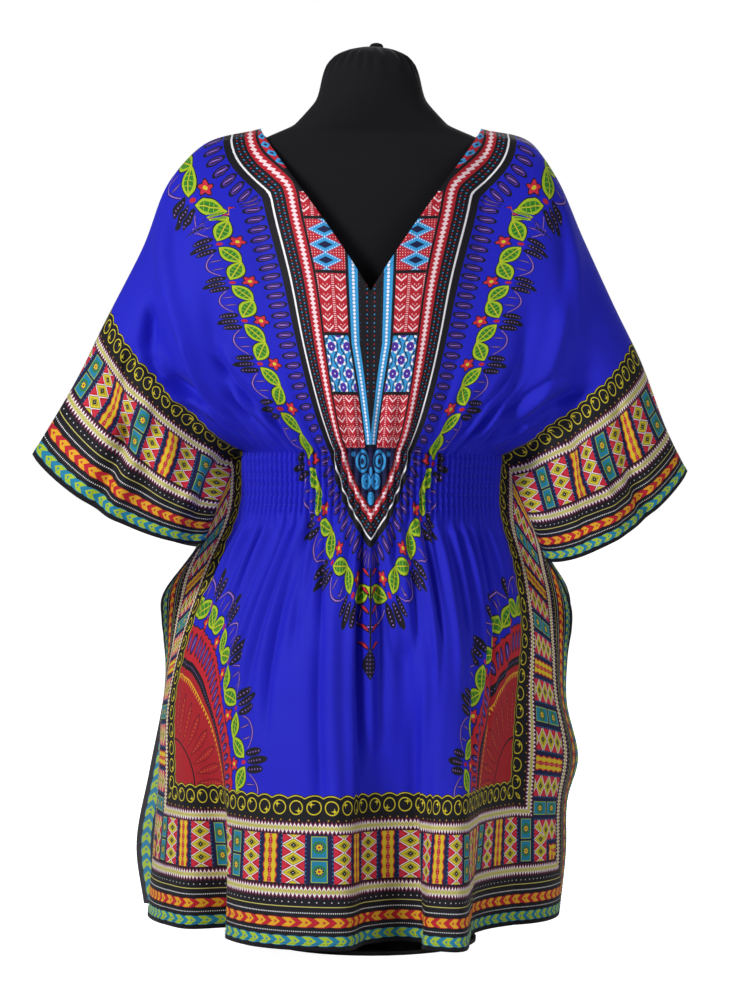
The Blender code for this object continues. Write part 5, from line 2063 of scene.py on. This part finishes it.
@dataclass
class DressForm:
    """The limbless form under a gathered black cover, with the knot at the top of its neck."""

    cover: PlainFinish = PlainFinish(
        "black_cover", (0.0062, 0.0062, 0.0085), 0.85, sheen=0.04, specular=0.16, grain=700.0,
        grain_height=0.0003, knit=0.0011)
    sides: int = 160
    levels: int = 150
    knot_sides: int = 72
    knot_levels: int = 26
    smoothed: int = 3
    inset: float = 0.0009
    slimmer: float = 0.005
    pleats: int = 23
    pleat_share: float = 0.035
    pleat_rise: Ramp = Ramp(0.962, 0.992)
    pleat_drifts: tuple[Ripple, ...] = (Ripple(0.8, 3.0, 0.6), Ripple(0.5, 5.0, 2.0))
    pleat_drift: float = 2.2
    drag_rise: Ramp = Ramp(0.915, 0.955)
    drag: Ripple = Ripple(0.005, 4.0, 1.0)
    drag_twist: float = 9.0
    drag_from: float = 0.92
    knot_size: float = 1.05
    knot_pleats: Ripple = Ripple(0.1, 9.0, 0.0)
    knot_drift: Ripple = Ripple(0.8, 2.0, 0.0)
    knot_twist: float = 300.0

    def lofted(self, sections: tuple[FormSection, ...], levels: int, sides: int,
               shaped: Callable[[np.ndarray, float], np.ndarray]) -> tuple[np.ndarray, list]:
        """Points and faces of a closed loft.

        Args:
            sections: the table of levels.
            levels: rows of the mesh.
            sides: corners of a row.
            shaped: how far each angle of a level stands out.

        Returns:
            The points and the faces.
        """
        rows_at = np.array(sections, float)
        walked = np.concatenate([[0.0], np.cumsum(np.hypot(np.diff(rows_at[:, 0]), np.diff(rows_at[:, 1])))])
        at = np.linspace(0.0, walked[-1], levels)
        heights = np.interp(at, walked, rows_at[:, 0])
        rows = np.stack([np.interp(at, walked, rows_at[:, k]) for k in (1, 2, 3)], axis=1)
        for _ in range(self.smoothed):
            rows[1:-1] = 0.25 * rows[:-2] + 0.5 * rows[1:-1] + 0.25 * rows[2:]
        turn = np.arange(sides) * 2.0 * math.pi / sides
        points = []
        for z, (half, front, back) in zip(heights, rows):
            out = shaped(turn, float(z))
            x = (half - self.inset) * np.cos(turn)
            y = (np.where(np.sin(turn) < 0, -front, back) - self.inset) * np.sin(turn)
            points.append(np.stack([x * out, y * out, np.full(sides, z)], axis=1))
        index = np.arange(levels * sides).reshape(levels, sides)
        after = np.roll(index, -1, axis=1)
        walls = np.stack([index[:-1], after[:-1], after[1:], index[1:]], axis=-1).reshape(-1, 4)
        return np.concatenate(points), [index[0, ::-1].tolist(), *walls.tolist(), index[-1].tolist()]

    def cover_folds(self, turn: np.ndarray, z: float) -> np.ndarray:
        """The cover's pleats drawn in at the top of the neck, and soft drag folds below."""
        gathered = self.pleat_share * float(rise(*self.pleat_rise, np.array(z)))
        drift = sum(ripple.at(turn) for ripple in self.pleat_drifts)
        pleat = np.sin(self.pleats * turn + self.pleat_drift * drift)
        twisted = turn + self.drag_twist / self.drag.waves * (z - self.drag_from)
        drag = float(rise(*self.drag_rise, np.array(z))) * self.drag.at(twisted)
        return 1.0 + gathered * (pleat - 1.0) + drag - self.slimmer

    def knot_folds(self, turn: np.ndarray, z: float) -> np.ndarray:
        """The knot's small pleats."""
        drift = self.knot_drift.at(turn) + self.knot_twist * z
        return self.knot_size + self.knot_pleats.at(turn + drift / self.knot_pleats.waves)

    def build(self) -> list[bpy.types.Object]:
        """Build the form and the knot."""
        jersey = self.cover.material()
        points, faces = self.lofted(FORM_SECTIONS, self.levels, self.sides, self.cover_folds)
        form = new_object("form_cover", points, faces, [jersey])
        points, faces = self.lofted(TUFT_SECTIONS, self.knot_levels, self.knot_sides, self.knot_folds)
        knot = new_object("neck_knot", points + np.array([*TUFT_AT, TUFT_BASE]), faces, [jersey])
        for piece, node in ((form, "dress_form"), (knot, "neck_tuft")):
            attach(piece, "root")
            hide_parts(node)
        return [form, knot]


@dataclass
class Stand:
    """The pole and the round plate that carry the form."""

    enamel: PlainFinish = PlainFinish(
        "black_enamel", (0.018, 0.018, 0.02), 0.42, metallic=0.35, grain=260.0, grain_height=0.00008)
    nodes: tuple[str, ...] = ("stand_base", "stand_pole")

    def build(self) -> list[bpy.types.Object]:
        """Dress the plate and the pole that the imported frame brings."""
        coat = self.enamel.material()
        made = [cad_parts[name] for name in self.nodes]
        for node in made:
            for slot in node.material_slots:
                slot.material = coat
        return made


class Lamp(NamedTuple):
    """A soft square lamp: its place, the length of its side and its power."""

    name: str
    place: tuple[float, float, float]
    side: float
    power: float


@dataclass
class Studio:
    """The pale floor, the soft light and the camera."""

    eye: tuple[float, float, float] = (0.0045, -3.2, 0.494)
    lens: float = 102.4
    sensor: float = 36.0
    ambient: float = 0.19
    lit_height: float = 0.5
    floor_half: float = 60.0
    paper: PlainFinish = PlainFinish("pale_floor", (0.86, 0.86, 0.87), 0.9, tone=0.02, glow=1.14)
    lamps: tuple[Lamp, ...] = (
        Lamp("key", (-2.1, -2.0, 1.9), 0.8, 76.0),
        Lamp("fill", (2.3, -2.3, 1.4), 1.2, 22.0),
        Lamp("back", (0.6, 2.6, 2.4), 1.8, 40.0),
    )

    def build(self) -> None:
        """Set the stage."""
        self.floor()
        self.world()
        for lamp in self.lamps:
            self.light(lamp)
        lens = bpy.data.cameras.new("camera")
        lens.lens, lens.sensor_width = self.lens, self.sensor
        camera = self.placed("camera", lens, self.eye, (math.pi / 2, 0.0, 0.0))
        bpy.context.scene.camera = camera
        bpy.context.scene.view_settings.view_transform = "Standard"

    def placed(self, name: str, data: bpy.types.ID, place: tuple[float, float, float],
               turned: tuple[float, float, float]) -> bpy.types.Object:
        """An object of the scene at a place, turned about its axes."""
        made = bpy.data.objects.new(name, data)
        made.location, made.rotation_euler = place, turned
        bpy.context.scene.collection.objects.link(made)
        return made

    def floor(self) -> None:
        """A plain pale floor."""
        corners = ((-1, -1), (1, -1), (1, 1), (-1, 1))
        points = np.array([(x * self.floor_half, y * self.floor_half, 0.0) for x, y in corners])
        new_object("floor", points, [(0, 1, 2, 3)], [self.paper.material()], smooth=False)

    def world(self) -> None:
        """Even pale light from all round, and white where the camera sees it."""
        world = bpy.data.worlds.new("studio")
        world.use_nodes = True
        tree = world.node_tree
        shade = tree.nodes["Background"]
        shade.inputs[0].default_value = (1.0, 1.0, 1.0, 1.0)
        strength = camera_rays(tree).scaled(1.0 - self.ambient, self.ambient)
        tree.links.new(strength.socket, shade.inputs[1])
        bpy.context.scene.world = world

    def light(self, lamp: Lamp) -> None:
        """A soft square lamp that looks at the middle of the shirt."""
        light = bpy.data.lights.new(lamp.name, "AREA")
        light.size, light.energy = lamp.side, lamp.power
        away = np.array(lamp.place) - np.array([0.0, 0.0, self.lit_height])
        turned = (math.acos(away[2] / np.linalg.norm(away)), 0.0, math.atan2(away[1], away[0]) + math.pi / 2)
        self.placed(lamp.name, light, lamp.place, turned)


FRONT_LINE = (
    (0.16, -0.02), (0.15, 0.022), (0.138, 0.048), (0.107, 0.08), (0.1055, 0.083), (0.105, 0.087),
    (0.102, 0.112), (0.0975, 0.14), (0.0925, 0.178), (0.0905, 0.215), (0.0905, 0.3), (0.09, 0.345),
    (0.086, 0.376), (0.074, 0.404), (0.05, 0.436), (0.02, 0.462), (0.0, 0.476),
)
BACK_LINE = (
    (0.158, -0.02), (0.142, 0.03), (0.124, 0.066), (0.104, 0.092), (0.078, 0.118), (0.05, 0.142),
    (0.024, 0.162), (0.0, 0.178),
)
FRONT_DETAIL = table(
    Crease,
    (-0.323, 0.149, -0.38, 0.187, 0.013, -0.013), (-0.372, 0.185, -0.388, 0.218, 0.012, -0.011),
    (-0.385, 0.215, -0.303, 0.325, 0.012, -0.013), (-0.273, 0.229, -0.303, 0.283, 0.016, 0.006),
    (-0.303, 0.275, -0.296, 0.345, 0.012, 0.0075), (-0.4, 0.24, -0.318, 0.338, 0.009, 0.0085),
    (-0.345, 0.31, -0.29, 0.352, 0.006, -0.005), (-0.388, 0.15, -0.45, 0.192, 0.013, -0.013),
    (-0.445, 0.192, -0.57, 0.212, 0.012, -0.015), (-0.418, 0.218, -0.575, 0.242, 0.012, 0.011),
    (-0.43, 0.275, -0.54, 0.29, 0.016, 0.005), (-0.385, 0.375, -0.47, 0.345, 0.01, -0.0085),
    (-0.45, 0.348, -0.57, 0.349, 0.011, -0.01), (-0.42, 0.335, -0.54, 0.318, 0.011, 0.006),
    (-0.275, 0.3, -0.2, 0.362, 0.007, -0.0092), (-0.258, 0.282, -0.186, 0.358, 0.007, 0.0068),
    (-0.246, 0.256, -0.168, 0.356, 0.007, -0.0078), (-0.215, 0.25, -0.15, 0.35, 0.007, 0.0056),
    (-0.25, 0.08, -0.31, 0.21, 0.022, 0.006), (-0.205, 0.07, -0.262, 0.21, 0.017, -0.005),
    (0.342, 0.296, 0.272, 0.362, 0.008, -0.0104), (0.362, 0.3, 0.296, 0.366, 0.008, 0.007),
    (0.24, 0.3, 0.206, 0.372, 0.007, -0.0096), (0.262, 0.28, 0.222, 0.366, 0.008, 0.0078),
    (0.31, 0.25, 0.246, 0.36, 0.008, -0.009), (0.222, 0.26, 0.178, 0.362, 0.006, -0.0066),
    (0.36, 0.21, 0.29, 0.31, 0.013, 0.0066), (0.392, 0.19, 0.32, 0.315, 0.011, -0.011),
    (0.402, 0.17, 0.57, 0.196, 0.013, -0.011), (0.42, 0.235, 0.565, 0.248, 0.012, 0.009),
    (0.4, 0.275, 0.57, 0.29, 0.012, -0.01), (0.385, 0.352, 0.52, 0.34, 0.012, -0.0064),
    (0.21, 0.07, 0.268, 0.2, 0.017, -0.005), (0.256, 0.08, 0.326, 0.215, 0.022, 0.0058),
    (-0.018, 0.462, -0.014, 0.745, 0.0055, -0.0095), (-0.034, 0.475, -0.042, 0.8, 0.01, 0.0052),
    (0.006, 0.47, 0.01, 0.56, 0.005, -0.006), (0.0, 0.5, 0.004, 0.72, 0.008, 0.006),
    (0.03, 0.5, 0.033, 0.598, 0.006, -0.007), (0.031, 0.586, 0.052, 0.606, 0.007, -0.0044),
    (0.05, 0.606, 0.07, 0.588, 0.007, -0.0044), (0.07, 0.595, 0.075, 0.5, 0.006, -0.007),
    (0.051, 0.49, 0.051, 0.592, 0.012, 0.008), (0.08, 0.56, 0.092, 0.9, 0.012, 0.0062),
    (0.06, 0.64, 0.066, 0.89, 0.01, -0.0056), (-0.108, 0.455, -0.086, 0.575, 0.0055, -0.008),
    (-0.088, 0.56, -0.082, 0.79, 0.007, -0.007), (-0.07, 0.52, -0.064, 0.82, 0.01, 0.0052),
    (-0.15, 0.445, -0.122, 0.59, 0.006, -0.006), (-0.166, 0.47, -0.15, 0.69, 0.007, -0.0072),
    (-0.19, 0.47, -0.196, 0.64, 0.01, 0.0056), (-0.226, 0.462, -0.236, 0.585, 0.006, -0.0064),
    (-0.285, 0.45, -0.297, 0.56, 0.007, -0.008), (-0.33, 0.452, -0.348, 0.56, 0.008, 0.0056),
    (-0.368, 0.455, -0.392, 0.53, 0.007, -0.007), (0.13, 0.462, 0.13, 0.59, 0.006, -0.0076),
    (0.112, 0.465, 0.112, 0.64, 0.008, 0.0052), (0.16, 0.462, 0.166, 0.64, 0.008, 0.005),
    (0.194, 0.455, 0.196, 0.59, 0.0055, -0.008), (0.197, 0.56, 0.222, 0.72, 0.007, -0.0072),
    (0.24, 0.46, 0.25, 0.68, 0.01, 0.0056), (0.294, 0.455, 0.297, 0.7, 0.006, -0.0086),
    (0.326, 0.46, 0.334, 0.64, 0.009, 0.0056),
)
BACK_DETAIL = table(
    Crease,
    (-0.296, 0.368, -0.25, 0.27, 0.009, 0.0056), (-0.244, 0.368, -0.196, 0.262, 0.008, -0.0052),
    (-0.35, 0.358, -0.312, 0.24, 0.011, 0.007), (-0.39, 0.334, -0.366, 0.205, 0.012, -0.0076),
    (-0.44, 0.32, -0.45, 0.18, 0.014, 0.005), (-0.17, 0.07, -0.11, 0.22, 0.02, 0.0048),
    (-0.25, 0.09, -0.3, 0.22, 0.018, -0.0044), (0.29, 0.368, 0.244, 0.278, 0.009, 0.0054),
    (0.238, 0.368, 0.192, 0.256, 0.008, -0.0054), (0.352, 0.358, 0.316, 0.244, 0.011, 0.0072),
    (0.394, 0.33, 0.37, 0.214, 0.012, -0.0074), (0.444, 0.318, 0.456, 0.18, 0.013, 0.0048),
    (0.16, 0.075, 0.1, 0.23, 0.019, 0.0046), (-0.06, 0.07, 0.074, 0.086, 0.013, 0.0036),
    (-0.31, 0.48, -0.322, 0.72, 0.013, -0.0048), (-0.262, 0.475, -0.27, 0.64, 0.01, 0.0046),
    (-0.205, 0.48, -0.214, 0.82, 0.014, -0.005), (-0.15, 0.475, -0.146, 0.66, 0.01, 0.0046),
    (-0.094, 0.48, -0.09, 0.76, 0.011, -0.0046), (-0.03, 0.475, -0.026, 0.86, 0.01, 0.0044),
    (0.024, 0.48, 0.02, 0.64, 0.009, -0.0048), (0.112, 0.475, 0.118, 0.8, 0.012, 0.005),
    (0.168, 0.48, 0.164, 0.65, 0.009, -0.0044), (0.216, 0.475, 0.224, 0.76, 0.012, 0.0048),
    (0.3, 0.48, 0.312, 0.7, 0.012, -0.0048),
)


def main() -> None:
    """Build every sub-assembly in order and report its pieces."""
    logging.basicConfig(level=logging.INFO, format="%(name)s: %(message)s")
    Studio().build()
    for assembly in (Shirt(), DressForm(), Stand()):
        for piece in assembly.build():
            LOG.info("%s: %s with %d faces", type(assembly).__name__, piece.name, len(piece.data.polygons))


if __name__ == "__main__":
    main()
